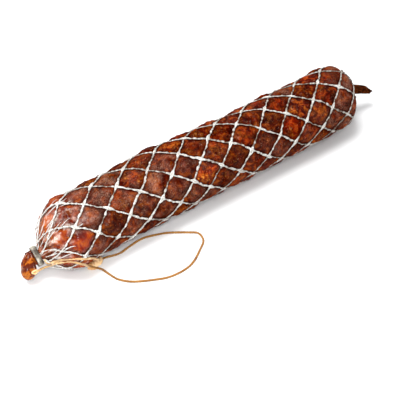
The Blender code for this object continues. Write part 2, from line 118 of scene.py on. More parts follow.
LOOP_ROUTE = (
    (-0.1318, -0.0222, 0.0014), (-0.1296, -0.0217, 0.0010), (-0.1166, -0.0251, 0.0010),
    (-0.1053, -0.0235, 0.0010), (-0.0912, -0.0224, 0.0010), (-0.0796, -0.0256, 0.0010),
    (-0.0680, -0.0304, 0.0010), (-0.0532, -0.0403, 0.0010), (-0.0465, -0.0461, 0.0010),
    (-0.0475, -0.0553, 0.0010), (-0.0555, -0.0620, 0.0010), (-0.0686, -0.0702, 0.0010),
    (-0.0798, -0.0728, 0.0010), (-0.0926, -0.0721, 0.0010), (-0.1034, -0.0684, 0.0010),
    (-0.1221, -0.0585, 0.0010), (-0.1314, -0.0494, 0.0010), (-0.1347, -0.0419, 0.0010),
    (-0.1377, -0.0320, 0.0010), (-0.1402, -0.0287, 0.0013),
)
LEFT_LOBE_CENTRE = Vector((-0.1448, -0.0227, 0.0030))
RIGHT_LOBE_CENTRE = Vector((-0.1381, -0.0236, 0.0027))

# ---- looks
RINGS = 452                      # along the body; the last few are dropped at the tail's root
COLUMNS = 196                    # of the casing's mesh, round it
TAIL_RINGS = 34
NECK_RINGS = 8
FAR_END_X = 0.15                 # beyond it the body rounds off into its far end
PLUMPNESS = 0.0008               # the softly rounded crowns stand this far above the CAD part's facets
GROOVE_DEPTH = 0.0031            # of the casing under the net's cords
CELL_INRADIUS = 0.0104           # from a cord to the middle of a full-size cell
CROWN_POWER = 2.6
CORD_DEPTH = 0.0014              # the middle of the net's cords, under the crowns
CORD_STEPS = 26                  # rings of a cord between two crossings
CORD_SIDES = 8
CORD_HALF_WIDTH = 0.00068
CORD_HALF_THICKNESS = 0.00048
ROW_SPACING = 0.0162             # about, between two rows of crossings and between two turns round the body
TURN_SPACING = 0.0141
BEAD_LENGTH = 0.0023             # of the thick and thin places along a cord
BRAID_LENGTH = 0.0026            # along a cord, after which its strands' bulges repeat
SHOULDER_STRANDS = 54            # stray strands over the folds near the clip
TWINE_SIDES = 14
TWINE_LANES = 12                 # pieces that the long string's UV map is cut into
FAN_RINGS = 44                   # of the loose string folded over beside the knot
FAN_SIDES = 56
TWINE_LAY = 0.0052               # along the twine, for one turn of its plies
TAN = ((0.27, 0.115, 0.022), (0.41, 0.195, 0.046))       # the string's dark and light colours
GOLD = ((0.66, 0.270, 0.045), (0.86, 0.430, 0.110))      # those of its knot and its eyelet
CAMERA_LENS = 72.07              # in millimetres, on a sensor 36 mm wide
CAMERA_PLACE = (-0.3096, -0.4226, 0.5556)
CAMERA_DIRECTION = Vector((0.38504, 0.54724, -0.74314))
FLOOR_REACH = 3.0
TIE_ROUTE = (
    (-0.1470, -0.0245, 0.0035), (-0.1449, -0.0262, 0.0030), (-0.1425, -0.0262, 0.0032),
    (-0.1408, -0.0240, 0.0046), (-0.1412, -0.0215, 0.0040), (-0.1432, -0.0206, 0.0026),
)
UNDER_ROUTE = (
    (-0.1475, -0.0238, 0.0014), (-0.1455, -0.0258, 0.0012), (-0.1430, -0.0272, 0.0012),
    (-0.1400, -0.0283, 0.0013),
)


def smooth(low, high, value):
    t = np.clip((value - low) / (high - low), 0.0, 1.0)
    return t * t * (3.0 - 2.0 * t)


def bell(value, centre, reach):
    """1 at the centre, fading to 0 on both sides."""
    return np.exp(-((value - centre) / reach) ** 2)


def dome_run(x):
    return np.clip((np.asarray(x, float) - POLE_X) / DOME_LENGTH + 1.0, 0.0, 1.0)


def crown_radius(x):
    x = np.asarray(x, float)
    rise = np.clip((x - NECK_X) / CONE_LENGTH, 0.0, 1.0)
    cone = CONE_TIP_RADIUS + (CROWN_RADIUS - CONE_TIP_RADIUS) * (1.0 - (1.0 - rise) ** CONE_FULLNESS)
    bar = SWELL * smooth(SWELL_START_X, SWELL_END_X, x)
    dome = (CROWN_RADIUS + bar) * (1.0 - dome_run(x) ** DOME_FULLNESS) ** (1.0 / DOME_FULLNESS)
    return np.where(x < NECK_X + CONE_LENGTH, cone, dome)


def centre_line(x):
    x = np.asarray(x, float)
    lean = np.clip((LEAN_START_X - x) / (LEAN_START_X - NECK_X), 0.0, 1.0) ** LEAN_POWER
    bend = np.maximum(0.0, (x - POLE_X) / TAIL_LENGTH)
    sway = SWAY * (1.0 - smooth(SWAY_END_X, SWAY_START_X, x))
    middle = np.stack([x, sway, AXIS_HEIGHT + LIFT * smooth(SWELL_START_X, SWELL_END_X, x)], -1)
    return middle + lean[..., None] * LEAN + bend[..., None] * TAIL_BEND


def bulging(x, angle):
    total = 0.0
    for height, bulge_x, reach, bulge_angle in BULGES:
        facing = np.maximum(0.0, np.cos(angle - bulge_angle))
        total = total + height * facing * bell(x, bulge_x, reach)
    return total


def round_point(x, angle, depth):
    x, angle, depth = np.broadcast_arrays(np.asarray(x, float), angle, depth)
    step = 0.0001
    slope = (crown_radius(x + step) - crown_radius(x - step)) / (2.0 * step)
    size = np.hypot(1.0, slope)
    along, outward = -slope / size, 1.0 / size
    radius = np.maximum(crown_radius(x) + bulging(x, angle) - depth * outward, 0.0)
    slant = DOME_SLANT * dome_run(x) * radius * np.sin(angle) / CROWN_RADIUS
    spoke = np.stack([slant - depth * along, radius * np.sin(angle), radius * np.cos(angle)], -1)
    return centre_line(x) + spoke


def flat_point(x, angle, half_length, half_depth):
    x = np.asarray(x, float)
    x, angle, half_length, half_depth = np.broadcast_arrays(x, angle, half_length, half_depth)
    turn = angle - CLIP_ANGLE
    long_part, short_part = half_length * np.cos(turn), half_depth * np.sin(turn)
    across = long_part * math.sin(CLIP_ANGLE) + short_part * math.cos(CLIP_ANGLE)
    up = long_part * math.cos(CLIP_ANGLE) - short_part * math.sin(CLIP_ANGLE)
    return centre_line(x) + np.stack([np.zeros_like(across), across, up], -1)


def gather_radius_x():
    share = 1.0 - (TAIL_END_GATHER_RADIUS / (CROWN_RADIUS + SWELL)) ** DOME_FULLNESS
    return POLE_X - DOME_LENGTH * (1.0 - share ** (1.0 / DOME_FULLNESS))


def crossing_rows():
    """X of each row of the net's crossings."""
    rows = {row: NET_ROW_X + row * NET_PERIOD / 2.0 for row in range(FIRST_BAR_ROW, LAST_BAR_ROW + 1)}
    cord = math.hypot(math.pi * CROWN_RADIUS / NET_CELLS, NET_PERIOD / 2.0)
    step = 0.0002
    for row, direction, end in ((FIRST_BAR_ROW, -1, CLIP_END_GATHER_X), (LAST_BAR_ROW, 1, gather_radius_x())):
        x = rows[row]
        while (x - end) * direction < 0.0:
            travelled = 0.0
            while (x - end) * direction < 0.0:
                half_width = math.pi * float(crown_radius(x)) / NET_CELLS
                if travelled >= math.sqrt(max(0.0, cord ** 2 - half_width ** 2)):
                    break
                rise = float(crown_radius(x + direction * step) - crown_radius(x))
                travelled += math.hypot(step, rise)
                x += direction * step
            row += direction
            rows[row] = min(x, end) if direction > 0 else max(x, end)
            x = rows[row]
    return rows


ROWS = crossing_rows()
ROW_NUMBERS = np.array(sorted(ROWS), float)
ROW_X = np.array([ROWS[int(row)] for row in ROW_NUMBERS])


def net_angle(x, turn):
    return NET_PHASE + NET_TWIST * x + turn * math.pi / NET_CELLS


def gather_fade(x):
    """1 along the body, 0 at both gathers."""
    near = smooth(CLIP_END_GATHER_X, CLIP_END_GATHER_X + GATHER_LENGTH, x)
    return near * (1.0 - smooth(POLE_X - DOME_GATHER_LENGTH, POLE_X, x))


def gathered(x):
    """1 where the casing is drawn into the clip, fading along the shoulder."""
    return bell(np.asarray(x, float), NECK_X, 0.019)


def fbm(points, scale, octaves=4, seed=0.0):
    """Fractal noise about 0 at each point; scale is the size of its lumps."""
    shift = Vector((seed * 17.3, seed * 5.1, seed * 9.7))
    return np.array([noise.fractal(Vector(p) / scale + shift, 1.0, 2.0, octaves) for p in points])


def ring_angles(count):
    return np.linspace(0.0, math.tau, count, endpoint=False)


def grid(first, second):
    """Every pair of the two rows of numbers, as two flat arrays."""
    return [part.reshape(-1) for part in np.meshgrid(first, second, indexing="ij")]


# ---- meshes

def add_object(name, vertices, faces, material):
    mesh = bpy.data.meshes.new(name)
    mesh.from_pydata([tuple(v) for v in vertices], [], [tuple(int(i) for i in f) for f in faces])
    mesh.validate()
    mesh.shade_smooth()
    obj = bpy.data.objects.new(name, mesh)
    bpy.context.scene.collection.objects.link(obj)
    obj.data.materials.append(material)
    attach(obj, "root")
    return obj


def point_colours(obj, name, values):
    layer = obj.data.color_attributes.new(name, "FLOAT_COLOR", "POINT")
    rgba = np.ones((len(values), 4), np.float32)
    rgba[:, :3] = values
    layer.data.foreach_set("color", rgba.reshape(-1))


def grid_faces(rings, columns):
    """Faces of a tube of rings, closed round."""
    ring = np.arange(rings - 1)[:, None] * columns
    column = np.arange(columns)[None, :]
    following = (column + 1) % columns
    corners = (ring + column, ring + following, ring + columns + following, ring + columns + column)
    return np.stack(np.broadcast_arrays(*corners), -1).reshape(-1, 4)


def tube_faces(rings, columns, offset=0):
    """Faces of a tube of rings, closed round and capped at both ends, facing out."""
    faces = (grid_faces(rings, columns) + offset)[:, ::-1].tolist()
    last = offset + (rings - 1) * columns
    return faces + [list(range(offset, offset + columns)), list(range(last, last + columns))[::-1]]


def grid_uvs(rings, columns):
    """U and V at the corners of grid_faces, both from 0 to 1."""
    ring = np.repeat(np.arange(rings - 1), columns)
    column = np.tile(np.arange(columns), rings - 1)
    u = np.stack([ring, ring, ring + 1, ring + 1], -1) / (rings - 1)
    v = np.stack([column, column + 1, column + 1, column], -1) / columns
    return u, v


def tube_uvs(rings, columns, order=-1):
    """U and V at the corners of tube_faces; order is 1 where those faces are turned over."""
    cap = np.zeros(2 * columns)
    return [np.concatenate([part[:, ::order].reshape(-1), cap]) for part in grid_uvs(rings, columns)]


def unwrap(obj, u, v):
    """The UV map for baking, from two numbers at each corner."""
    layer = obj.data.uv_layers.new(name="OFBake")
    layer.data.foreach_set("uv", np.stack([u, v], -1).astype(np.float32).reshape(-1))


# ---- net: where its cords run

# Crossings that swell into white knots, by row and turn, and how many times their usual size they are.
BIG_NODES = {(-7, 13): 2.5, (-8, 2): 2.0, (10, 0): 2.2, (4, 12): 1.8, (6, 12): 1.7, (3, 11): 1.8, (0, 0): 1.6,
             (-1, 1): 1.6, (1, 13): 1.5, (2, 0): 1.4, (-5, 1): 1.4, (-2, 0): 1.4}


def node_offsets():
    """Each crossing's small shift, in rows and half cells, and its size."""
    offsets = {}
    for row in sorted(ROWS):
        for cell in range(NET_CELLS):
            turn = 2 * cell + row % 2
            on_bar = FIRST_BAR_ROW <= row <= LAST_BAR_ROW
            reach = 0.045 if on_bar else 0.0
            size = BIG_NODES.get((row, turn), rng.choice((0.6, 0.8, 1.0, 1.1, 1.25)))
            offsets[row, turn] = (rng.uniform(-reach, reach), rng.uniform(-reach, reach), size)
    return offsets


NODES = node_offsets()


def node_place(row, turn):
    shift = NODES[row, turn % (2 * NET_CELLS)]
    return row + shift[0], turn + shift[1]


def lattice_point(row, turn, depth):
    x = np.interp(row, ROW_NUMBERS, ROW_X)
    return round_point(x, net_angle(x, turn), depth - PLUMPNESS)


def cord_runs():
    """Every cord between two neighbouring crossings: its places, its slack and its looks."""
    runs = []
    last = max(ROWS)
    for (row, turn), _ in sorted(NODES.items()):
        if row == last:
            continue
        for step in (1, -1):
            start, end = node_place(row, turn), node_place(row + 1, turn + step)
            runs.append({
                "start": start, "end": end,
                "ends": (NODES[row, turn][2], NODES[row + 1, (turn + step) % (2 * NET_CELLS)][2]),
                "slack": rng.uniform(-0.05, 0.05), "wave": rng.uniform(0.0, math.tau),
                "width": rng.uniform(0.72, 1.15), "grey": rng.random() ** 1.5, "sunk": rng.random() > 0.86,
            })
    return runs


RUNS = cord_runs()


def run_places(run, shares):
    """Rows and turns along a cord."""
    row = run["start"][0] + (run["end"][0] - run["start"][0]) * shares
    turn = run["start"][1] + (run["end"][1] - run["start"][1]) * shares
    jogs = 0.012 * np.sin(9.0 * shares + run["wave"]) + 0.010 * np.sin(21.0 * shares + 2.0 * run["wave"])
    bow = (run["slack"] + jogs) * np.sin(math.pi * shares)
    return row + bow, turn - bow * (run["end"][1] - run["start"][1])


# ---- materials

class Looks:
    """A material as it is built: each call adds a node and returns its output."""

    def __init__(self, name):
        self.made = bpy.data.materials.new(name)
        self.made.use_nodes = True
        self.nodes = self.made.node_tree.nodes
        self.place = self.nodes.new("ShaderNodeTexCoord").outputs["Object"]

    def feed(self, socket, value):
        """Sets a socket to a number or a colour, or links an output to it."""
        if isinstance(value, (int, float)):
            socket.default_value = value
        elif isinstance(value, tuple):
            socket.default_value = (*value, 1.0)
        else:
            self.made.node_tree.links.new(value, socket)

    def noise(self, scale, detail=4.0, rough=0.55, distortion=0.0):
        made = self.nodes.new("ShaderNodeTexNoise")
        self.feed(made.inputs["Vector"], self.place)
        self.feed(made.inputs["Scale"], scale)
        self.feed(made.inputs["Detail"], detail)
        self.feed(made.inputs["Roughness"], rough)
        self.feed(made.inputs["Distortion"], distortion)
        return made.outputs["Fac"]

    def threads(self, scale, width, distortion):
        """Thin wandering lines, 1 in their middles."""
        value = self.noise(scale, 3.0, 0.5, distortion)
        return self.ramp(value, (0.5 - width, 0.0), (0.5, 1.0), (0.5 + width, 0.0))

    def ramp(self, value, *stops):
        """Numbers or colours at places along a value."""
        made = self.nodes.new("ShaderNodeValToRGB")
        elements = made.color_ramp.elements
        while len(elements) < len(stops):
            elements.new(0.5)
        for element, (place, colour) in zip(elements, stops):
            element.position = place
            element.color = (*colour, 1.0) if isinstance(colour, tuple) else (colour, colour, colour, 1.0)
        self.feed(made.inputs["Fac"], value)
        return made.outputs["Color"]

    def mix(self, share, low, high, kind="MIX"):
        """Colour between low and high, by share."""
        made = self.nodes.new("ShaderNodeMix")
        made.data_type = "RGBA"
        made.blend_type = kind
        made.clamp_factor = True
        for number, value in ((0, share), (6, low), (7, high)):
            self.feed(made.inputs[number], value)
        return made.outputs[2]

    def shade(self, colour, value, *stops):
        """A colour times a ramp of a value."""
        return self.mix(1.0, colour, self.ramp(value, *stops), "MULTIPLY")

    def times(self, first, second):
        made = self.nodes.new("ShaderNodeMath")
        made.operation = "MULTIPLY"
        made.use_clamp = True
        self.feed(made.inputs[0], first)
        self.feed(made.inputs[1], second)
        return made.outputs[0]

    def channels(self, attribute):
        """The three channels of a colour attribute."""
        source = self.nodes.new("ShaderNodeAttribute")
        source.attribute_name = attribute
        split = self.nodes.new("ShaderNodeSeparateColor")
        self.feed(split.inputs["Color"], source.outputs["Color"])
        return split.outputs

    def bump(self, height, distance, strength, before=None):
        made = self.nodes.new("ShaderNodeBump")
        self.feed(made.inputs["Distance"], distance)
        self.feed(made.inputs["Strength"], strength)
        self.feed(made.inputs["Height"], height)
        if before is not None:
            self.feed(made.inputs["Normal"], before)
        return made.outputs["Normal"]

    def finish(self, **inputs):
        """Feeds the shader's inputs, named with _ for each space, and returns the material."""
        for name, value in inputs.items():
            self.feed(self.nodes["Principled BSDF"].inputs[name.replace("_", " ")], value)
        return self.made


def casing_material():
    looks = Looks("casing")
    orange, frost, gloss = looks.channels("looks")
    # the shape attribute holds painted shade in the grooves, the dried tail, and painted highlights
    painted_groove_shade, tail, painted_highlight = looks.channels("shape")
    tone, redness, flesh = looks.channels("cell")
    broad = looks.noise(75.0, 3.0, 0.55, 0.8)
    patches = looks.noise(125.0, 3.0, 0.48, 1.2)
    flakes = looks.noise(210.0, 3.0, 0.55, 1.4)
    fine = looks.noise(400.0, 4.0, 0.60, 1.4)
    web = looks.noise(650.0, 4.0, 0.62, 2.0)

    meat = looks.ramp(patches, (0.37, (0.030, 0.0016, 0.0005)), (0.46, (0.068, 0.0046, 0.0007)),
                      (0.54, (0.125, 0.0120, 0.0012)), (0.62, (0.270, 0.0500, 0.0040)))
    reds = looks.ramp(patches, (0.37, (0.045, 0.0014, 0.0006)), (0.50, (0.120, 0.0060, 0.0010)),
                      (0.62, (0.230, 0.0200, 0.0025)))
    colour = looks.mix(looks.times(redness, looks.ramp(broad, (0.40, 0.2), (0.58, 1.0))), meat, reds)
    fat = looks.ramp(fine, (0.38, (0.16, 0.024, 0.002)), (0.52, (0.32, 0.078, 0.006)),
                     (0.64, (0.56, 0.190, 0.024)))
    colour = looks.mix(looks.times(orange, looks.ramp(flakes, (0.44, 0.0), (0.54, 1.0))), colour, fat)
    colour = looks.shade(colour, fine, (0.36, 0.84), (0.62, 1.14))
    colour = looks.shade(colour, broad, (0.38, 0.66), (0.62, 1.32))
    colour = looks.shade(colour, tone, (0.0, 0.50), (1.0, 1.40))

    # painted shade: thin near-black lines for the shade in the casing's creases
    crease_shade = looks.threads(135.0, 0.020, 1.8)
    colour = looks.mix(looks.times(crease_shade, 0.85), colour, (0.020, 0.0012, 0.0006))
    cracks = looks.threads(310.0, 0.022, 2.2)
    colour = looks.mix(looks.times(cracks, 0.45), colour, (0.024, 0.0015, 0.0008))

    dust = looks.times(frost, looks.ramp(web, (0.38, 0.0), (0.50, 0.34), (0.62, 1.0)))
    colour = looks.mix(dust, colour, (0.185, 0.062, 0.037))
    pale = looks.times(looks.threads(420.0, 0.045, 2.6), looks.times(frost, 1.3))
    colour = looks.mix(pale, colour, (0.50, 0.29, 0.21))
    # painted glints: tiny pale specks that stand in for small highlights
    painted_glints = looks.times(looks.ramp(web, (0.635, 0.0), (0.68, 1.0)), 0.66)
    colour = looks.mix(painted_glints, colour, (0.58, 0.31, 0.19))

    ember = looks.ramp(broad, (0.36, (0.080, 0.003, 0.0004)), (0.50, (0.225, 0.016, 0.0008)),
                       (0.64, (0.450, 0.082, 0.003)))
    colour = looks.mix(flesh, colour, ember)
    # painted highlight, nearly white, broken up by noise
    patchy_highlight = looks.times(painted_highlight, looks.ramp(fine, (0.40, 0.35), (0.55, 1.0)))
    colour = looks.mix(patchy_highlight, colour, (0.86, 0.72, 0.64))
    # painted shade, near black, in the grooves along the cords and between the pleats
    colour = looks.mix(painted_groove_shade, colour, (0.030, 0.0025, 0.001))
    dried = looks.ramp(fine, (0.35, (0.010, 0.0022, 0.0010)), (0.50, (0.036, 0.0075, 0.0024)),
                       (0.64, (0.130, 0.028, 0.0050)))
    colour = looks.mix(tail, colour, dried)

    normal = looks.bump(patches, 0.0016, 0.60)
    normal = looks.bump(fine, 0.0014, 0.75, normal)
    normal = looks.bump(web, 0.0007, 0.60, normal)
    return looks.finish(Base_Color=colour, Normal=normal, Roughness=0.55, Specular_IOR_Level=0.0,
                        Coat_Weight=gloss, Coat_Roughness=0.12)


def knob_material():
    looks = Looks("knob_casing")
    painted_fold_shade, painted_highlight, _ = looks.channels("looks")
    broad = looks.noise(210.0, 3.0, 0.6, 0.8)
    fine = looks.noise(520.0, 5.0, 0.6, 1.8)
    colour = looks.ramp(broad, (0.36, (0.055, 0.003, 0.0004)), (0.49, (0.170, 0.021, 0.0015)),
                        (0.60, (0.48, 0.130, 0.008)))
    colour = looks.shade(colour, fine, (0.3, 0.6), (0.65, 1.15))
    # painted shade in the waist and fold valleys, then painted highlights on the fold ridges
    colour = looks.mix(painted_fold_shade, colour, (0.075, 0.008, 0.003))
    colour = looks.mix(painted_highlight, colour, (0.88, 0.76, 0.64))
    return looks.finish(Base_Color=colour, Normal=looks.bump(fine, 0.0006, 0.5), Roughness=0.45,
                        Specular_IOR_Level=0.06, Coat_Weight=0.18, Coat_Roughness=0.06)


def net_material():
    looks = Looks("net_cord")
    grey, braid_shade, _ = looks.channels("looks")
    broad = looks.noise(260.0, 3.0, 0.55, 0.8)
    blots = looks.noise(380.0, 2.5, 0.50, 0.6)
    fine = looks.noise(900.0, 4.0, 0.6, 0.5)
    white = looks.ramp(fine, (0.36, (0.41, 0.40, 0.36)), (0.50, (0.64, 0.63, 0.60)),
                       (0.62, (0.91, 0.92, 0.90)))
    wear_and_shade = looks.ramp(broad, (0.40, (0.15, 0.095, 0.065)), (0.58, (0.36, 0.31, 0.26)))
    # grey holds wear and, towards the far end, painted shade
    colour = looks.mix(looks.times(grey, looks.ramp(blots, (0.44, 0.0), (0.53, 1.0))), white, wear_and_shade)
    colour = looks.shade(colour, grey, (0.15, 1.0), (1.0, (0.70, 0.67, 0.64)))
    # painted shade in the grooves between the braid's strands
    colour = looks.mix(braid_shade, colour, (0.42, 0.36, 0.29), "MULTIPLY")
    return looks.finish(Base_Color=colour, Normal=looks.bump(fine, 0.0005, 0.8), Roughness=0.62,
                        Specular_IOR_Level=0.25)


def string_material(name, dark, light, cream_colour=(0.82, 0.58, 0.31)):
    looks = Looks(name)
    ply_shade, spot, cream = looks.channels("looks")
    broad = looks.noise(120.0, 3.0)
    fine = looks.noise(1400.0, 4.0, 0.65, 0.8)
    colour = looks.ramp(broad, (0.35, dark), (0.65, light))
    colour = looks.shade(colour, fine, (0.3, 0.62), (0.65, 1.15))
    # painted shade between the twine's plies
    colour = looks.mix(ply_shade, colour, (0.30, 0.10, 0.02))
    colour = looks.mix(spot, colour, (0.22, 0.08, 0.02))
    colour = looks.mix(cream, colour, cream_colour)
    return looks.finish(Base_Color=colour, Normal=looks.bump(fine, 0.0003, 0.6), Roughness=0.75,
                        Specular_IOR_Level=0.25, Sheen_Weight=0.15)


def clip_material():
    looks = Looks("clip_metal")
    upper, rim, _ = looks.channels("looks")
    broad = looks.noise(220.0, 3.0)
    fine = looks.noise(700.0, 5.0, 0.65, 0.4)
    colour = looks.ramp(broad, (0.36, (0.045, 0.034, 0.026)), (0.50, (0.13, 0.110, 0.086)),
                        (0.66, (0.34, 0.31, 0.255)))
    colour = looks.shade(colour, fine, (0.3, 0.72), (0.6, 1.05))
    # painted highlight, cream, on the band's upper end
    colour = looks.mix(upper, colour, (0.66, 0.63, 0.52))
    colour = looks.mix(rim, colour, (0.035, 0.026, 0.020))
    return looks.finish(Base_Color=colour, Normal=looks.bump(fine, 0.0003, 0.35), Metallic=0.50,
                        Roughness=looks.ramp(fine, (0.3, 0.30), (0.7, 0.52)))


# ---- casing

# How single cells of the net look, by the row and turn of their middle, in percent: their dust, orange fat,
# gloss, tone from dark to light, and redness. A tone over 90 shows clear flesh.
CELLS = {
    (-9, 0): (5, 70, 50, 75, 70), (-9, 2): (5, 80, 30, 65, 50), (-8, 1): (5, 65, 22, 88, 90),
    (-8, 13): (0, 100, 40, 95, 70), (-7, 0): (52, 20, 8, 36, 20), (-7, 2): (50, 10, 0, 40, 30),
    (-7, 12): (45, 10, 0, 42, 30), (-6, 1): (50, 10, 0, 27, 40), (-6, 13): (3, 45, 10, 20, 0),
    (-5, 0): (40, 25, 0, 50, 50), (-5, 2): (60, 40, 0, 45, 10), (-5, 12): (35, 10, 0, 40, 40),
    (-4, 1): (25, 50, 0, 55, 60), (-4, 13): (30, 35, 10, 40, 10), (-3, 0): (70, 40, 0, 45, 0),
    (-3, 2): (10, 20, 0, 40, 50), (-3, 12): (35, 10, 0, 42, 30), (-2, 1): (50, 10, 0, 42, 40),
    (-2, 13): (35, 10, 0, 28, 0), (-1, 0): (20, 0, 10, 12, 20), (-1, 2): (5, 45, 0, 42, 30),
    (-1, 12): (30, 45, 0, 45, 20), (0, 1): (5, 25, 0, 36, 10), (0, 13): (10, 75, 5, 80, 50),
    (1, 0): (5, 30, 15, 60, 50), (1, 2): (0, 40, 0, 48, 40), (1, 12): (10, 40, 0, 45, 10),
    (2, 1): (0, 20, 0, 44, 40), (2, 13): (5, 30, 5, 34, 0), (3, 0): (0, 20, 12, 42, 70),
    (3, 12): (10, 30, 0, 50, 30), (4, 1): (0, 35, 10, 45, 60), (4, 13): (10, 15, 5, 20, 0),
    (5, 0): (0, 35, 12, 32, 20), (5, 12): (20, 10, 0, 42, 30), (6, 1): (0, 15, 5, 32, 90),
    (6, 13): (0, 35, 0, 70, 80), (7, 0): (0, 95, 20, 72, 0), (7, 2): (45, 20, 0, 50, 30),
    (7, 12): (20, 10, 0, 45, 60), (8, 1): (0, 45, 5, 36, 10), (8, 13): (10, 35, 10, 42, 20),
    (9, 0): (5, 35, 0, 34, 60), (9, 12): (50, 10, 0, 42, 30), (10, 1): (10, 25, 5, 55, 90),
    (10, 11): (55, 10, 0, 42, 40), (10, 13): (55, 5, 0, 34, 40), (11, 0): (60, 10, 0, 45, 40),
    (11, 2): (35, 20, 0, 45, 40), (11, 12): (60, 10, 0, 42, 40),
}


def cell_looks(row, turn):
    """Dust, orange, gloss, tone and redness at each point, from its cell."""
    a, b = np.floor((row + turn) / 2.0), np.floor((row - turn) / 2.0)
    middle_row = (a + b + 1.0).astype(int)
    middle_turn = ((a - b).astype(int)) % (2 * NET_CELLS)
    chosen = random.Random(11)
    cells = {}
    for r in range(int(ROW_NUMBERS[0]) - 2, int(ROW_NUMBERS[-1]) + 3):
        for t in range(2 * NET_CELLS):
            cells[r, t] = (max(0.0, chosen.gauss(0.10, 0.10)), chosen.choice((0.0, 0.1, 0.2, 0.35, 0.5)),
                           chosen.choice((0.0, 0.0, 0.06)), min(1.0, max(0.0, chosen.gauss(0.45, 0.12))),
                           chosen.choice((0.0, 0.3, 0.6)))
            if (r, t) in CELLS:
                cells[r, t] = tuple(percent / 100.0 for percent in CELLS[r, t])
    return np.array([cells[key] for key in zip(middle_row.tolist(), middle_turn.tolist())]).T


def casing_stations():
    """X of the body's rings, evenly spaced along its outline."""
    x = np.linspace(NECK_X, POLE_X - 1e-6, 6000)
    run = np.concatenate([[0.0], np.cumsum(np.hypot(np.diff(x), np.diff(crown_radius(x))))])
    even = np.interp(np.linspace(0.0, run[-1], RINGS), run, x)
    return even[crown_radius(even) > TAIL_RADIUS + 0.0004]


def folds(angle, count, seed, places):
    """Sharp folds of gathered casing, from 0 in their valleys to 1 on their ridges."""
    wander = 0.22 * fbm(places, 0.018, 3, seed)
    wave = (angle + wander) * count / math.tau + seed
    return np.abs((wave % 1.0) * 2.0 - 1.0) ** 0.8


def cord_distance(points):
    """How far each point is from the nearest cord of the net."""
    shares = np.linspace(0.0, 1.0, 34)
    cord_points = np.concatenate([lattice_point(*run_places(run, shares), 0.0) for run in RUNS])
    tree = KDTree(len(cord_points))
    for index, point in enumerate(cord_points):
        tree.insert(point, index)
    tree.balance()
    return np.array([tree.find(point)[2] for point in points])


def body_points(x, angle, base, distance, pleat):
    """The body: its crowns swell between the cords and its clipped end falls into pleats."""
    radius = crown_radius(x)
    reach = CELL_INRADIUS * (radius / CROWN_RADIUS) ** 0.7
    swell = 1.0 - (1.0 - np.clip(distance / reach, 0.0, 1.0)) ** CROWN_POWER
    fade, drawn_in = gather_fade(x), gathered(x)
    lumps = fbm(base, 0.013, 3, 1.0)
    wrinkles = fbm(base, 0.0042, 3, 2.0)
    veins = 1.0 - np.abs(fbm(base, 0.0075, 3, 3.0)) * 3.0
    round_tail = bell(radius, TAIL_RADIUS, 0.011) * (x > FAR_END_X)
    depth = GROOVE_DEPTH * (1.0 - swell * fade) * (0.9 + 0.1 * fade)
    depth = depth - 0.00070 * lumps * (0.35 + 0.65 * swell) - 0.00075 * wrinkles
    depth = depth + 0.00035 * np.clip(veins, 0.0, 1.0) ** 2
    depth = depth + 0.0026 * drawn_in * (1.0 - pleat) - 0.0018 * drawn_in
    depth = depth + 0.0008 * round_tail * (1.0 - folds(angle, 17, 0.5, base))
    body = round_point(x, angle, depth - PLUMPNESS)
    oval_radius = np.maximum(radius - 0.0034, 0.001)
    oval_radius = oval_radius * (1.0 + 0.10 * (pleat - 0.5))
    oval = flat_point(x, angle, oval_radius, NECK_FLATNESS * oval_radius)
    rounding = smooth(NECK_X, NECK_X + ROUNDING_LENGTH, x)[:, None]
    body = oval * (1.0 - rounding) + body * rounding
    body[:, 2] = np.maximum(body[:, 2], 0.0)
    return body


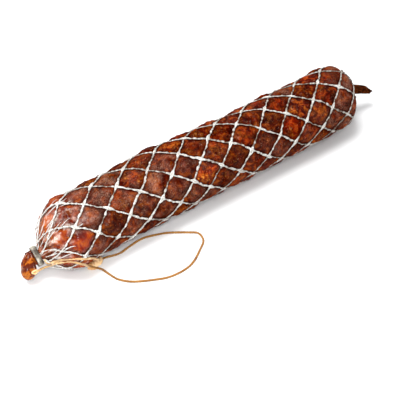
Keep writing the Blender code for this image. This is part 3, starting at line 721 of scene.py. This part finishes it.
def body_looks(x, row, turn, base, distance, pleat):
    """The body's three colour attributes: looks, shape and cell. Shape holds painted shade in the grooves,
    the dried tail, and painted highlights.
    """
    dusty, orange, glossy, tone, redness = cell_looks(row, turn)
    fade, drawn_in = gather_fade(x), gathered(x)
    past_neck = x - NECK_X
    near = bell(past_neck, 0.0, 0.036)
    soft = smooth(0.0008, 0.0045, distance)
    clear = (tone > 0.9) * smooth(0.0010, 0.0050, distance)

    dusty = dusty * (0.55 + 0.9 * fbm(base, 0.008, 3, 5.0)) * (0.35 + 0.65 * soft) * (1.0 - 0.8 * near)
    dusty = dusty + (0.10 * near + 0.22 * drawn_in) * smooth(-0.15, 0.30, fbm(base, 0.007, 3, 7.0))
    orange = orange * smooth(-0.25, 0.45, fbm(base, 0.011, 3, 4.0)) * 1.3 * soft + 0.55 * near
    gloss = 0.16 * near + 0.7 * glossy * soft

    # painted shade: darker along the net's cords and, near the clip, in the valleys between the pleats
    painted_groove_shade = 0.50 * (1.0 - smooth(0.0006, 0.0030, distance)) * fade
    painted_groove_shade = np.maximum(painted_groove_shade, 0.65 * drawn_in * (1.0 - smooth(0.10, 0.42, pleat)))
    root = smooth(0.0086, 0.0056, crown_radius(x)) * (x > FAR_END_X)
    # painted highlights: pale streaks on the ridges of the pleats near the clip, and pale patches of glossy
    # film on the front of the shoulder, kept off clear flesh
    ridge = smooth(0.66, 0.92, pleat) * bell(past_neck, 0.006, 0.026)
    painted_highlight = 0.95 * ridge * smooth(-0.15, 0.25, fbm(base, 0.005, 3, 6.0))
    front = bell((turn + NET_CELLS) % (2 * NET_CELLS) - NET_CELLS, 0.6, 2.0)
    film_highlight = smooth(-0.20, 0.22, fbm(base, 0.0060, 3, 8.0)) * (0.20 + 0.80 * smooth(0.50, 0.85, pleat))
    film_highlight = film_highlight * front * bell(past_neck, 0.018, 0.018)
    painted_highlight = np.maximum(painted_highlight * (0.60 + 0.40 * front), film_highlight) * (1.0 - 0.9 * clear)

    flesh = np.maximum(clear, 0.78 * bell(past_neck, 0.018, 0.020) * soft)
    # painted shade: a darker band about x = -0.118, taking back light that the fill light adds there
    tone = tone - 0.21 * bell(x, -0.118, 0.052) * (1.0 - clear)
    # painted shade and light: each cell darker at its border along the cords and lighter in its middle, as if
    # it bulged; right beside the cords its tone is also drawn to 0.42
    tone = tone + (0.42 - tone) * (1.0 - soft) + 0.22 * (smooth(0.0015, 0.0080, distance) - 0.5) * fade
    tone = tone + 0.05 * near + 0.34 * drawn_in
    layers = ((orange, dusty, gloss), (painted_groove_shade, root, painted_highlight), (tone, redness, flesh))
    return [np.clip(np.stack(layer, -1), 0.0, 1.0) for layer in layers]


def tail_points(share, angle):
    """The dried end of the casing: twisted, ridged and torn off on a slant."""
    torn = 0.0030 * np.maximum(0.0, np.cos(angle - 0.35)) + 0.0012 * np.maximum(0.0, np.cos(angle - 3.3))
    torn = torn + 0.0009 * np.cos(6.0 * angle) + 0.0005 * np.cos(11.0 * angle + 1.0)
    reach = TAIL_LENGTH + 0.0012 - torn * smooth(0.55, 1.0, share)
    x = (POLE_X - 0.0012) + share * reach
    taper = (1.0 - 0.10 * share) * np.sqrt(np.maximum(0.0, 1.0 - share ** 14))
    twisted = angle + 1.1 * share
    ridges = 0.09 * np.cos(5.0 * twisted) + 0.06 * np.cos(9.0 * twisted + 4.0 * share)
    radius = 1.08 * TAIL_RADIUS * taper * (1.0 + ridges)
    return flat_point(x, angle, radius, TAIL_FLATNESS * radius)


def build_casing():
    angles = ring_angles(COLUMNS)
    stations = casing_stations()
    x, angle = grid(stations, angles)
    base = round_point(x, angle, 0.0)
    row = np.interp(x, ROW_X, ROW_NUMBERS)
    turn = (angle - NET_PHASE - NET_TWIST * x) * NET_CELLS / math.pi
    distance = cord_distance(base)
    pleat = folds(angle, 15, 0.3, base) * 0.6 + folds(angle, 26, 0.7, base) * 0.4

    neck_x, neck_angle = grid(np.linspace(NECK_TIP_X, NECK_X - 0.0003, NECK_RINGS), angles)
    neck = flat_point(neck_x, neck_angle, NECK_HALF_LENGTH * 0.94, NECK_HALF_DEPTH * 0.94)
    body = body_points(x, angle, base, distance, pleat)
    tail = tail_points(*grid(np.linspace(0.0, 1.0, TAIL_RINGS), angles))

    rings = NECK_RINGS + len(stations) + TAIL_RINGS
    vertices = np.concatenate([neck, body, tail])
    casing = add_object("casing", vertices, tube_faces(rings, COLUMNS), casing_material())
    unwrap(casing, *tube_uvs(rings, COLUMNS))

    plain = {"looks": ((0.3, 0.0, 0.8), (0.0, 0.0, 0.0)), "shape": ((0.0, 0.0, 0.0), (0.0, 1.0, 0.0)),
             "cell": ((0.5, 0.5, 0.0), (0.5, 0.5, 0.0))}
    layers = body_looks(x, row, turn, base, distance, pleat)
    for (name, (on_neck, on_tail)), layer in zip(plain.items(), layers):
        ends = [np.tile(colour, (len(part), 1)) for colour, part in ((on_neck, neck), (on_tail, tail))]
        point_colours(casing, name, np.concatenate([ends[0], layer, ends[1]]))
    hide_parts("sausage")
    return casing


# ---- knob of casing beyond the clip

def build_knob():
    rings, columns = 70, 96
    polar, around = grid(np.linspace(0.02, math.pi - 0.02, rings), ring_angles(columns))
    unit = np.stack([np.sin(polar) * np.cos(around), np.sin(polar) * np.sin(around), np.cos(polar)], -1)
    height = unit[:, 2]

    def lumps(scale, octaves, seed):
        return fbm(unit * 0.02, scale, octaves, seed)

    crease = np.abs(((around + 0.35 * lumps(0.02, 2, 3.0)) * 7.0 / math.tau) % 1.0 * 2.0 - 1.0)
    top = smooth(0.15, 0.95, height)
    waist = bell(height + 0.05 + 0.25 * np.cos(around), 0.0, 0.16)
    bulge = 1.0 - 0.16 * height + 0.05 * lumps(0.012, 3, 8.0)
    size = bulge - 0.16 * top * (1.0 - crease) - 0.09 * waist
    local = unit * np.array(KNOB_HALF) * size[:, None]
    local[:, 2] = height * KNOB_HALF[2] * (1.0 + 0.03 * lumps(0.015, 2, 9.0))
    rotation = np.array(KNOB_AXIS.to_track_quat("Z", "Y").to_matrix())
    vertices = local @ rotation.T + np.array(KNOB_CENTRE)
    vertices[:, 0] = np.minimum(vertices[:, 0], CLIP_X - 0.5 * CLIP_WIDTH + 0.0012)
    faces = [face[::-1] for face in tube_faces(rings, columns)]
    knob = add_object("knob", vertices, faces, knob_material())
    unwrap(knob, *tube_uvs(rings, columns, 1))

    # painted shade in the waist between the two lobes and in the valleys between the folds on top
    painted_fold_shade = 0.75 * waist + 0.5 * smooth(0.45, 0.95, height) * (1.0 - crease)
    # painted highlights on the ridges of the folds
    painted_highlight = smooth(0.86, 0.98, crease) * smooth(0.0, 0.5, height + 0.3)
    painted_highlight = 0.55 * painted_highlight * smooth(0.0, 0.4, lumps(0.008, 2, 5.0))
    point_colours(knob, "looks", np.stack([np.clip(painted_fold_shade, 0.0, 1.0), painted_highlight, np.zeros_like(painted_fold_shade)], -1))
    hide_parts("sausage")
    return knob


# ---- tubes

def frames_along(points):
    """Side and up at each point of a line, carried along it without twisting."""
    tangent = np.gradient(points, axis=0)
    tangent /= np.linalg.norm(tangent, axis=1)[:, None]
    side = np.cross(tangent[0], (0.0, 0.0, 1.0))
    if np.linalg.norm(side) < 1e-6:
        side = np.array((1.0, 0.0, 0.0))
    sides = []
    for direction in tangent:
        side = side - direction * side.dot(direction)
        side = side / np.linalg.norm(side)
        sides.append(side)
    sides = np.array(sides)
    return sides, np.cross(tangent, sides)


def tube_vertices(points, radii):
    """Rings round a line; radii has a row for each ring and a column for each side."""
    side, up = frames_along(points)
    angles = ring_angles(radii.shape[1])
    spokes = np.cos(angles)[:, None] * side[:, None, :] + np.sin(angles)[:, None] * up[:, None, :]
    return (points[:, None, :] + radii[..., None] * spokes).reshape(-1, 3)


def along_route(route, steps):
    """Points of a smooth curve through the route's points, at even shares of their count."""
    return [curve_point(route, step / steps) for step in range(steps + 1)]


def curve_point(route, share):
    place = share * (len(route) - 1)
    low = min(int(place), len(route) - 2)
    numbers = (min(max(low + step, 0), len(route) - 1) for step in range(-1, 3))
    before, start, end, after = (Vector(route[number]) for number in numbers)
    t = place - low
    rise = t * t * (3.0 - 2.0 * t)
    pull_start, pull_end = 0.5 * (end - before), 0.5 * (after - start)
    return start + (end - start) * rise + pull_start * t * (1.0 - t) ** 2 - pull_end * t * t * (1.0 - t)


def even_line(points, spacing):
    """Evenly spaced points of a line, each one's place along it, and its length."""
    points = np.array([tuple(p) for p in points])
    run = np.concatenate([[0.0], np.cumsum(np.linalg.norm(np.diff(points, axis=0), axis=1))])
    places = np.linspace(0.0, run[-1], max(2, int(run[-1] / spacing)))
    return np.stack([np.interp(places, run, points[:, axis]) for axis in range(3)], -1), places, run[-1]


# ---- net

CORD_ANGLES = ring_angles(CORD_SIDES)


def net_tube(middle, up, half_width, half_thick, braid, grey, shade):
    """A flattened tube along a line on the net's surface, with its two looks: how grey and how shaded."""
    tangent = np.gradient(middle, axis=0)
    tangent /= np.linalg.norm(tangent, axis=1)[:, None]
    side = np.cross(tangent, up)
    wide = half_width[:, None] * np.cos(CORD_ANGLES)[None, :] * (1.0 + braid)
    thick = half_thick[:, None] * np.sin(CORD_ANGLES)[None, :] * (1.0 + braid)
    ring = middle[:, None, :] + side[:, None, :] * wide[..., None] + up[:, None, :] * thick[..., None]
    ring[..., 2] = np.maximum(ring[..., 2], 0.0002)
    grey, shade, none = np.broadcast_arrays(grey, shade, np.zeros(wide.shape))
    return ring.reshape(-1, 3), np.stack([grey, shade, none], -1).reshape(-1, 3)


def braiding(size, lobes, phase):
    """Bulges of a cord's strands, by ring and side; phase turns them along the cord."""
    return size * np.sin(CORD_ANGLES[None, :] * lobes + phase[:, None])


def surface_line(row, turn, depth):
    """Points of the net's surface and the directions out of it."""
    depth = depth - 0.0011 * gathered(np.interp(row, ROW_NUMBERS, ROW_X))
    middle = lattice_point(row, turn, depth)
    outward = lattice_point(row, turn, depth - 0.001) - middle
    return middle, outward / np.linalg.norm(outward, axis=1)[:, None]


def net_cord(run):
    """A cord between two crossings: beaded, flared at both, grey with wear, and greyer towards the far end as
    painted shade.
    """
    shares = np.linspace(0.0, 1.0, CORD_STEPS)
    row, turn = run_places(run, shares)
    x = np.interp(row, ROW_NUMBERS, ROW_X)
    beads = fbm(np.stack([row * ROW_SPACING, turn * TURN_SPACING, 0.0 * row], -1), BEAD_LENGTH, 3, 31.0)
    sunk = 0.00045 * run["sunk"] * np.sin(math.pi * shares)
    middle, up = surface_line(row, turn, CORD_DEPTH + sunk - 0.0002 * beads)
    length = np.linalg.norm(np.diff(middle, axis=0), axis=1).sum()
    flare = np.zeros(CORD_STEPS)
    for size, gone in zip(run["ends"], (shares * length, (1.0 - shares) * length)):
        flare = flare + size * np.exp(-(gone / (0.0014 * size ** 0.6)) ** 1.5)
    room = np.clip(crown_radius(x) / CROWN_RADIUS, 0.35, 1.0)
    swollen = np.clip(1.0 + 1.1 * beads, 0.55, 1.5)
    half_width = (CORD_HALF_WIDTH * run["width"] * swollen + 0.00048 * flare) * room ** 0.3
    half_thick = CORD_HALF_THICKNESS * (1.0 + 0.25 * flare + 0.3 * beads)
    braid = braiding(0.09, 3.0, shares * length / BRAID_LENGTH * math.tau)
    near = bell(x, NECK_X, 0.034)
    grey = np.clip((run["grey"] * 0.9 - 1.0 * beads) * np.sin(math.pi * shares) ** 0.4 + 0.10, 0.0, 1.0)
    # greyer where sunk into the casing; the term in x is painted shade that greys the cords towards the far
    # end
    grey = np.clip(grey + 0.35 * run["sunk"] + 0.30 * smooth(0.04, 0.13, x) + 0.15, 0.0, 1.0)
    grey = grey * (1.0 - 0.85 * near)
    shade = np.clip(0.2 - 3.0 * braid, 0.0, 0.5) * (1.0 - 0.8 * near)[:, None]
    return net_tube(middle, up, half_width, half_thick, braid, grey[:, None], shade)


def node_loops():
    """At each crossing two strands of the knitted net part and close again, round a small eye."""
    tubes = []
    shares = np.linspace(-1.0, 1.0, 12)
    swell = np.cos(0.5 * math.pi * shares)
    for (row, turn), (_, _, size) in sorted(NODES.items()):
        if not FIRST_BAR_ROW - 1 <= row <= LAST_BAR_ROW:
            continue
        middle_row, middle_turn = node_place(row, turn)
        reach = rng.uniform(0.14, 0.24)
        lean = rng.choice((1.0, 1.0, -1.0))
        gap = rng.uniform(0.035, 0.060) * min(size, 1.15)
        shift = rng.uniform(-0.06, 0.06)
        for hand in (1.0, -1.0):
            bow = hand * gap * swell ** 1.2
            r = middle_row + (shares * reach + shift) - bow * 0.5
            t = middle_turn + lean * (shares * reach + shift) + lean * bow * 1.1
            r = np.clip(r, ROW_NUMBERS[0], ROW_NUMBERS[-1])
            middle, up = surface_line(r, t, CORD_DEPTH - 0.0004 - 0.00025 * swell)
            half_width = (0.00062 + 0.00008 * rng.random()) * (0.75 + 0.25 * swell)
            braid = braiding(0.10, 2.0, shares * 5.0 + hand)
            grey = max(0.0, rng.gauss(0.12, 0.15))
            shade = np.clip(0.15 - 2.0 * braid, 0.0, 0.4)
            tubes.append(net_tube(middle, up, half_width, np.full(12, 0.00046), braid, grey, shade))
    return tubes


def neck_strands():
    """The net's last cords drawn over the shoulder and into the clip."""
    tubes = []
    first = int(ROW_NUMBERS[0])
    x_start = ROWS[first] + 0.0006
    x_end = CLIP_X + 0.5 * CLIP_WIDTH - 0.0003
    shares = np.linspace(0.0, 1.0, 10)
    for row, turn in sorted(NODES):
        if row != first:
            continue
        for spread in (-0.35, 0.30):
            angle = net_angle(x_start, turn + spread * shares * rng.uniform(0.6, 1.2))
            start = round_point(x_start, angle, CORD_DEPTH)
            end = flat_point(x_end, angle, NECK_HALF_LENGTH, NECK_HALF_DEPTH + 0.0006)
            bend = np.sin(0.5 * math.pi * shares)[:, None]
            middle = start * (1.0 - bend) + end * bend
            middle[:, 0] = x_start + (end[:, 0] - x_start) * (1.0 - np.cos(0.5 * math.pi * shares))
            up = middle - centre_line(middle[:, 0])
            up[:, 0] = -0.004
            up /= np.linalg.norm(up, axis=1)[:, None]
            half_width = 0.00060 * (1.0 - 0.3 * shares)
            braid = braiding(0.10, 2.0, shares * 7.0)
            tubes.append(net_tube(middle - up * 0.0001, up, half_width, np.full(10, 0.0004), braid, 0.0, 0.0))
    return tubes


def shoulder_strands():
    """Thin stray strands that run between the cords, over the folds of the shoulder, towards the clip."""
    tubes = []
    shares = np.linspace(0.0, 1.0, 10)
    for _ in range(SHOULDER_STRANDS):
        row = ROW_NUMBERS[0] + 0.4 + 2.6 * rng.random() ** 1.3
        turn = rng.uniform(0.0, 2.0 * NET_CELLS)
        reach, drift = rng.uniform(0.40, 1.0), rng.uniform(-0.22, 0.22)
        r = np.clip(row - reach * shares, ROW_NUMBERS[0] + 0.05, ROW_NUMBERS[-1])
        t = turn + drift * shares + 0.04 * np.sin(5.0 * shares + turn)
        middle, up = surface_line(r, t, CORD_DEPTH - 0.0004)
        width = rng.uniform(0.00018, 0.00046) * (0.25 + 0.75 * np.sin(math.pi * shares))
        braid = braiding(0.12, 2.0, shares * 9.0)
        tubes.append(net_tube(middle, up, width, 0.7 * width, braid, max(0.0, rng.gauss(0.10, 0.15)), 0.0))
    return tubes


def build_net():
    tubes = [net_cord(run) for run in RUNS] + node_loops() + neck_strands() + shoulder_strands()
    faces, us, vs = [], [], []
    first = 0
    lanes = math.ceil(math.sqrt(len(tubes)))
    for number, (tube, _) in enumerate(tubes):
        steps = len(tube) // CORD_SIDES
        faces += tube_faces(steps, CORD_SIDES, first)
        u, v = tube_uvs(steps, CORD_SIDES)
        us.append((number % lanes + 0.05 + 0.9 * u) / lanes)
        vs.append((number // lanes + 0.05 + 0.9 * v) / lanes)
        first += len(tube)
    vertices, looks = (np.concatenate(parts) for parts in zip(*tubes))
    net = add_object("netting", vertices, faces, net_material())
    unwrap(net, np.concatenate(us), np.concatenate(vs))
    point_colours(net, "looks", looks)
    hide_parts("net")
    return net


# ---- clip

def build_clip():
    """A soft metal band, rounded by its crimping, with flattened dents."""
    steps, sides = 96, 24
    corner = CLIP_HALF_DEPTH - 0.5 * CLIP_WALL
    straight = CLIP_HALF_LENGTH - 0.5 * CLIP_WALL - corner
    long_axis = np.array((0.0, math.sin(CLIP_ANGLE), math.cos(CLIP_ANGLE)))
    neck_axis = np.array((1.0, 0.0, 0.0))
    short_axis = np.cross(neck_axis, long_axis)
    centre = centre_line(CLIP_X)
    vertices, looks = [], []
    for angle in ring_angles(steps):
        cosine, sine = math.cos(angle), math.sin(angle)
        middle = long_axis * (corner * cosine + math.copysign(straight, cosine) * min(1.0, abs(cosine) * 3.0))
        middle = middle + short_axis * corner * sine
        outward = long_axis * cosine + short_axis * sine
        dent = 0.00012 * noise.noise(Vector((cosine * 3.0, sine * 3.0, 1.7)))
        for turn in ring_angles(sides):
            across, out = math.cos(turn), math.sin(turn)
            squared = (abs(across) ** 2.5 + abs(out) ** 2.5) ** (-1.0 / 2.5)
            vertices.append(centre + middle + neck_axis * 0.5 * CLIP_WIDTH * 0.98 * across * squared
                            + outward * (0.5 * CLIP_WALL * 0.98 * out * squared + dent))
            rim = smooth(0.80, 1.0, abs(across) * squared)
            # the first look is a painted highlight that makes the band's upper end paler
            looks.append((0.85 * smooth(0.15, 0.95, cosine), 0.8 * rim, 0.0))
    faces = grid_faces(steps + 1, sides) % (steps * sides)
    clip = add_object("clip_band", vertices, faces.tolist(), clip_material())
    unwrap(clip, *(part.reshape(-1) for part in grid_uvs(steps + 1, sides)))
    point_colours(clip, "looks", np.array(looks))
    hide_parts("clip")
    return clip


# ---- string

def plies(places, angles):
    """How far the twine's two twisted plies stand out, from 0 in their grooves to 1."""
    return np.abs(np.cos(angles - places[:, None] / TWINE_LAY * math.tau))


def build_string():
    upper = along_route(UPPER_LEAD_ROUTE, 400)
    loop = along_route(LOOP_ROUTE, 400)
    lower = along_route(LOWER_LEAD_ROUTE, 400)
    into_knot = [Vector((-0.1355, -0.0237, 0.0036))]
    out_of_knot = [Vector((-0.1425, -0.0272, 0.0030)), Vector((-0.1452, -0.0268, 0.0048))]
    points, places, length = even_line(upper + into_knot + loop + out_of_knot + lower[::-1], 0.0005)
    for _ in range(6):
        points[1:-1] = 0.25 * points[:-2] + 0.5 * points[1:-1] + 0.25 * points[2:]
    x, y, z = points.T
    frayed = np.exp(-(((x + 0.0660) / 0.0060) ** 2 + ((y + 0.0690) / 0.0060) ** 2))
    spot = np.exp(-(((x + 0.0655) / 0.0022) ** 2 + ((y + 0.0685) / 0.0030) ** 2))
    rough = fbm(np.stack([places, np.zeros_like(places), np.zeros_like(places)], -1), 0.0035, 3, 12.0)
    lobes = plies(places, ring_angles(TWINE_SIDES))
    size = 1.06 + 0.24 * lobes + 0.08 * rough[:, None] + 0.18 * frayed[:, None]
    vertices = tube_vertices(points, STRING_RADIUS * size)
    vertices[:, 2] = np.maximum(vertices[:, 2], 0.00005)
    twine = string_material("twine", *TAN)
    string = add_object("string", vertices, tube_faces(len(points), TWINE_SIDES), twine)
    u, v = tube_uvs(len(points), TWINE_SIDES)
    lane = np.floor(u * TWINE_LANES - 1e-9).clip(0, TWINE_LANES - 1)
    unwrap(string, u * TWINE_LANES - lane, (lane + 0.05 + 0.9 * v) / TWINE_LANES)
    # painted shade in the grooves between the plies
    ply_shade = 0.55 * (1.0 - lobes) ** 2
    cream = (0.40 + 0.4 * smooth(0.0, 0.6, rough)) * smooth(0.004, 0.010, z)
    looks = np.stack(np.broadcast_arrays(ply_shade, spot[:, None], cream[:, None]), -1)
    point_colours(string, "looks", looks.reshape(-1, 3))
    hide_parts("string_lead_upper", "string_lead_lower", "string_loop")
    return string, points, length


def knot_turn(path, size):
    """Vertices and looks of a piece of string in the knot."""
    points, places, _ = even_line(path, 0.0004)
    lobes = plies(places, ring_angles(TWINE_SIDES))
    # painted shade between the plies
    looks = np.stack([0.5 * (1.0 - lobes) ** 2, 0.0 * lobes, 0.25 + 0.0 * lobes], -1)
    return tube_vertices(points, STRING_RADIUS * size * (0.84 + 0.22 * lobes)), looks.reshape(-1, 3)


def knot_fan():
    """Vertices and looks of the loose string folded over beside the knot, one flat ridged bunch."""
    heading = Vector((0.93, 0.30, 0.20)).normalized()
    aside = Vector((0.0, 0.0, 1.0)).cross(heading).normalized()
    lift = heading.cross(aside)
    centre = RIGHT_LOBE_CENTRE + Vector((-0.0010, -0.0006, 0.0012))
    fan, looks = [], []
    for ring in range(FAN_RINGS):
        share = ring / (FAN_RINGS - 1.0)
        place = share * 2.0 - 1.0
        outline = max(0.05, (1.0 - abs(place) ** 2.6)) ** 0.5 * (0.52 + 0.48 * smooth(0.0, 0.7, share))
        shine = min(1.0, 0.60 + 0.40 * max(0.0, 1.0 - share * 1.6))
        for side in range(FAN_SIDES):
            angle = math.tau * side / FAN_SIDES
            strands = 0.10 * abs(math.sin(5.0 * angle + 1.3 * share)) - 0.05
            width = 0.0044 * outline * (1.0 + strands)
            height = 0.0023 * outline * (1.0 + strands) * (1.0 - 0.25 * share)
            point = centre + heading * place * 0.0064 + aside * math.cos(angle) * width
            point = point + lift * math.sin(angle) * height
            fan.append((point.x, point.y, max(point.z, 0.0004)))
            # the first look is painted shade in the gaps between the fan's strands
            looks.append((max(0.0, -strands * 5.0) * 0.45, 0.0, shine))
    return np.array(fan), np.array(looks)


def build_knot():
    """Wraps of string on the left, and a fan of loose string folded over on the right."""
    wraps = []
    for step in range(150):
        share = step / 149.0
        angle = share * math.tau * 2.6 + 0.6
        wraps.append((LEFT_LOBE_CENTRE.x + 0.0026 * (share - 0.5) + 0.0003 * math.sin(3.0 * angle),
                      LEFT_LOBE_CENTRE.y + 0.0023 * math.cos(angle),
                      max(0.0012, LEFT_LOBE_CENTRE.z + 0.0020 * math.sin(angle))))
    parts = [knot_turn(wraps, 1.15), knot_turn(along_route(TIE_ROUTE, 80), 1.1),
             knot_turn(along_route(UNDER_ROUTE, 60), 1.0), knot_fan()]
    faces = []
    first = 0
    for (vertices, _), sides in zip(parts, (TWINE_SIDES, TWINE_SIDES, TWINE_SIDES, FAN_SIDES)):
        faces += tube_faces(len(vertices) // sides, sides, first)
        first += len(vertices)
    vertices, looks = (np.concatenate(part) for part in zip(*parts))
    twine = string_material("knot_twine", *GOLD, (0.97, 0.72, 0.42))
    knot = add_object("knot", vertices, faces, twine)
    point_colours(knot, "looks", looks)
    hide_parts("string_knot")
    return knot


def build_eyelet():
    """The frayed eye of string where the lower lead is tied to the knob."""
    sides = 12
    centre = Vector((-0.1903, -0.0128, 0.0168))
    outward = Vector((-0.20, -0.86, 0.40)).normalized()
    side = outward.cross(Vector((0.0, 0.0, 1.0))).normalized()
    up = side.cross(outward)
    path = []
    for step in range(121):
        angle = math.tau * step / 120.0
        size = 1.0 + 0.12 * math.sin(3.0 * angle + 0.5)
        across, rise = 0.0021 * size * math.cos(angle), 0.0014 * size * math.sin(angle)
        path.append(centre + side * across + up * rise)
    path += [path[-1].lerp(Vector(LOWER_LEAD_ROUTE[0]), (step + 1) / 24.0) for step in range(24)]
    points, _, _ = even_line(path, 0.0003)
    rough = fbm(points, 0.0012, 3, 21.0)
    size = 1.0 + 0.25 * rough[:, None] + 0.15 * np.cos(3.0 * ring_angles(sides))
    vertices = tube_vertices(points, 0.00075 * size)
    twine = string_material("eye_twine", *GOLD)
    eyelet = add_object("eyelet", vertices, tube_faces(len(points), sides), twine)
    looks = np.zeros((len(vertices), 3))
    looks[:, 2] = np.repeat(np.clip(0.8 - 0.6 * rough, 0.2, 1.0), sides)
    point_colours(eyelet, "looks", looks)
    return eyelet


# ---- camera, light and floor

def area_light(name, place, target, size, power):
    light = bpy.data.lights.new(name, "AREA")
    light.size = size
    light.energy = power
    obj = bpy.data.objects.new(name, light)
    obj.location = place
    obj.rotation_euler = (Vector(target) - Vector(place)).to_track_quat("-Z", "Y").to_euler()
    bpy.context.scene.collection.objects.link(obj)
    return light


def build_camera():
    camera = bpy.data.cameras.new("camera")
    camera.lens = CAMERA_LENS
    camera.sensor_width = 36.0
    camera.clip_start = 0.01
    view = bpy.data.objects.new("camera", camera)
    view.location = CAMERA_PLACE
    view.rotation_euler = CAMERA_DIRECTION.to_track_quat("-Z", "Y").to_euler()
    bpy.context.scene.collection.objects.link(view)
    bpy.context.scene.camera = view
    view_settings = bpy.context.scene.view_settings
    view_settings.view_transform = "Standard"
    view_settings.look = "None"


def build_floor():
    mesh = bpy.data.meshes.new("floor")
    corners = [(x * FLOOR_REACH, y * FLOOR_REACH, 0.0) for x, y in ((-1, -1), (1, -1), (1, 1), (-1, 1))]
    mesh.from_pydata(corners, [], [(0, 1, 2, 3)])
    floor = bpy.data.objects.new("floor", mesh)
    bpy.context.scene.collection.objects.link(floor)
    white = Looks("floor_white")
    white.finish(Base_Color=(0.86, 0.865, 0.87), Roughness=0.9, Specular_IOR_Level=0.1)
    mesh.materials.append(white.made)


def build_lights():
    world = bpy.data.worlds.new("studio")
    world.use_nodes = True
    background = world.node_tree.nodes["Background"].inputs
    background["Color"].default_value = (1.0, 1.0, 1.0, 1.0)
    background["Strength"].default_value = 0.66
    bpy.context.scene.world = world
    area_light("key", (-0.28, 0.10, 1.38), (0.0, 0.0, 0.03), 0.6, 21.0)
    fill = area_light("fill", (-0.36, -0.36, 0.52), (-0.15, -0.03, 0.01), 0.22, 0.42)
    fill.spread = math.radians(70.0)


build_camera()
build_floor()
build_lights()
string, string_points, string_length = build_string()
knot = build_knot()
eyelet = build_eyelet()
build_casing()
build_knob()
build_net()
build_clip()
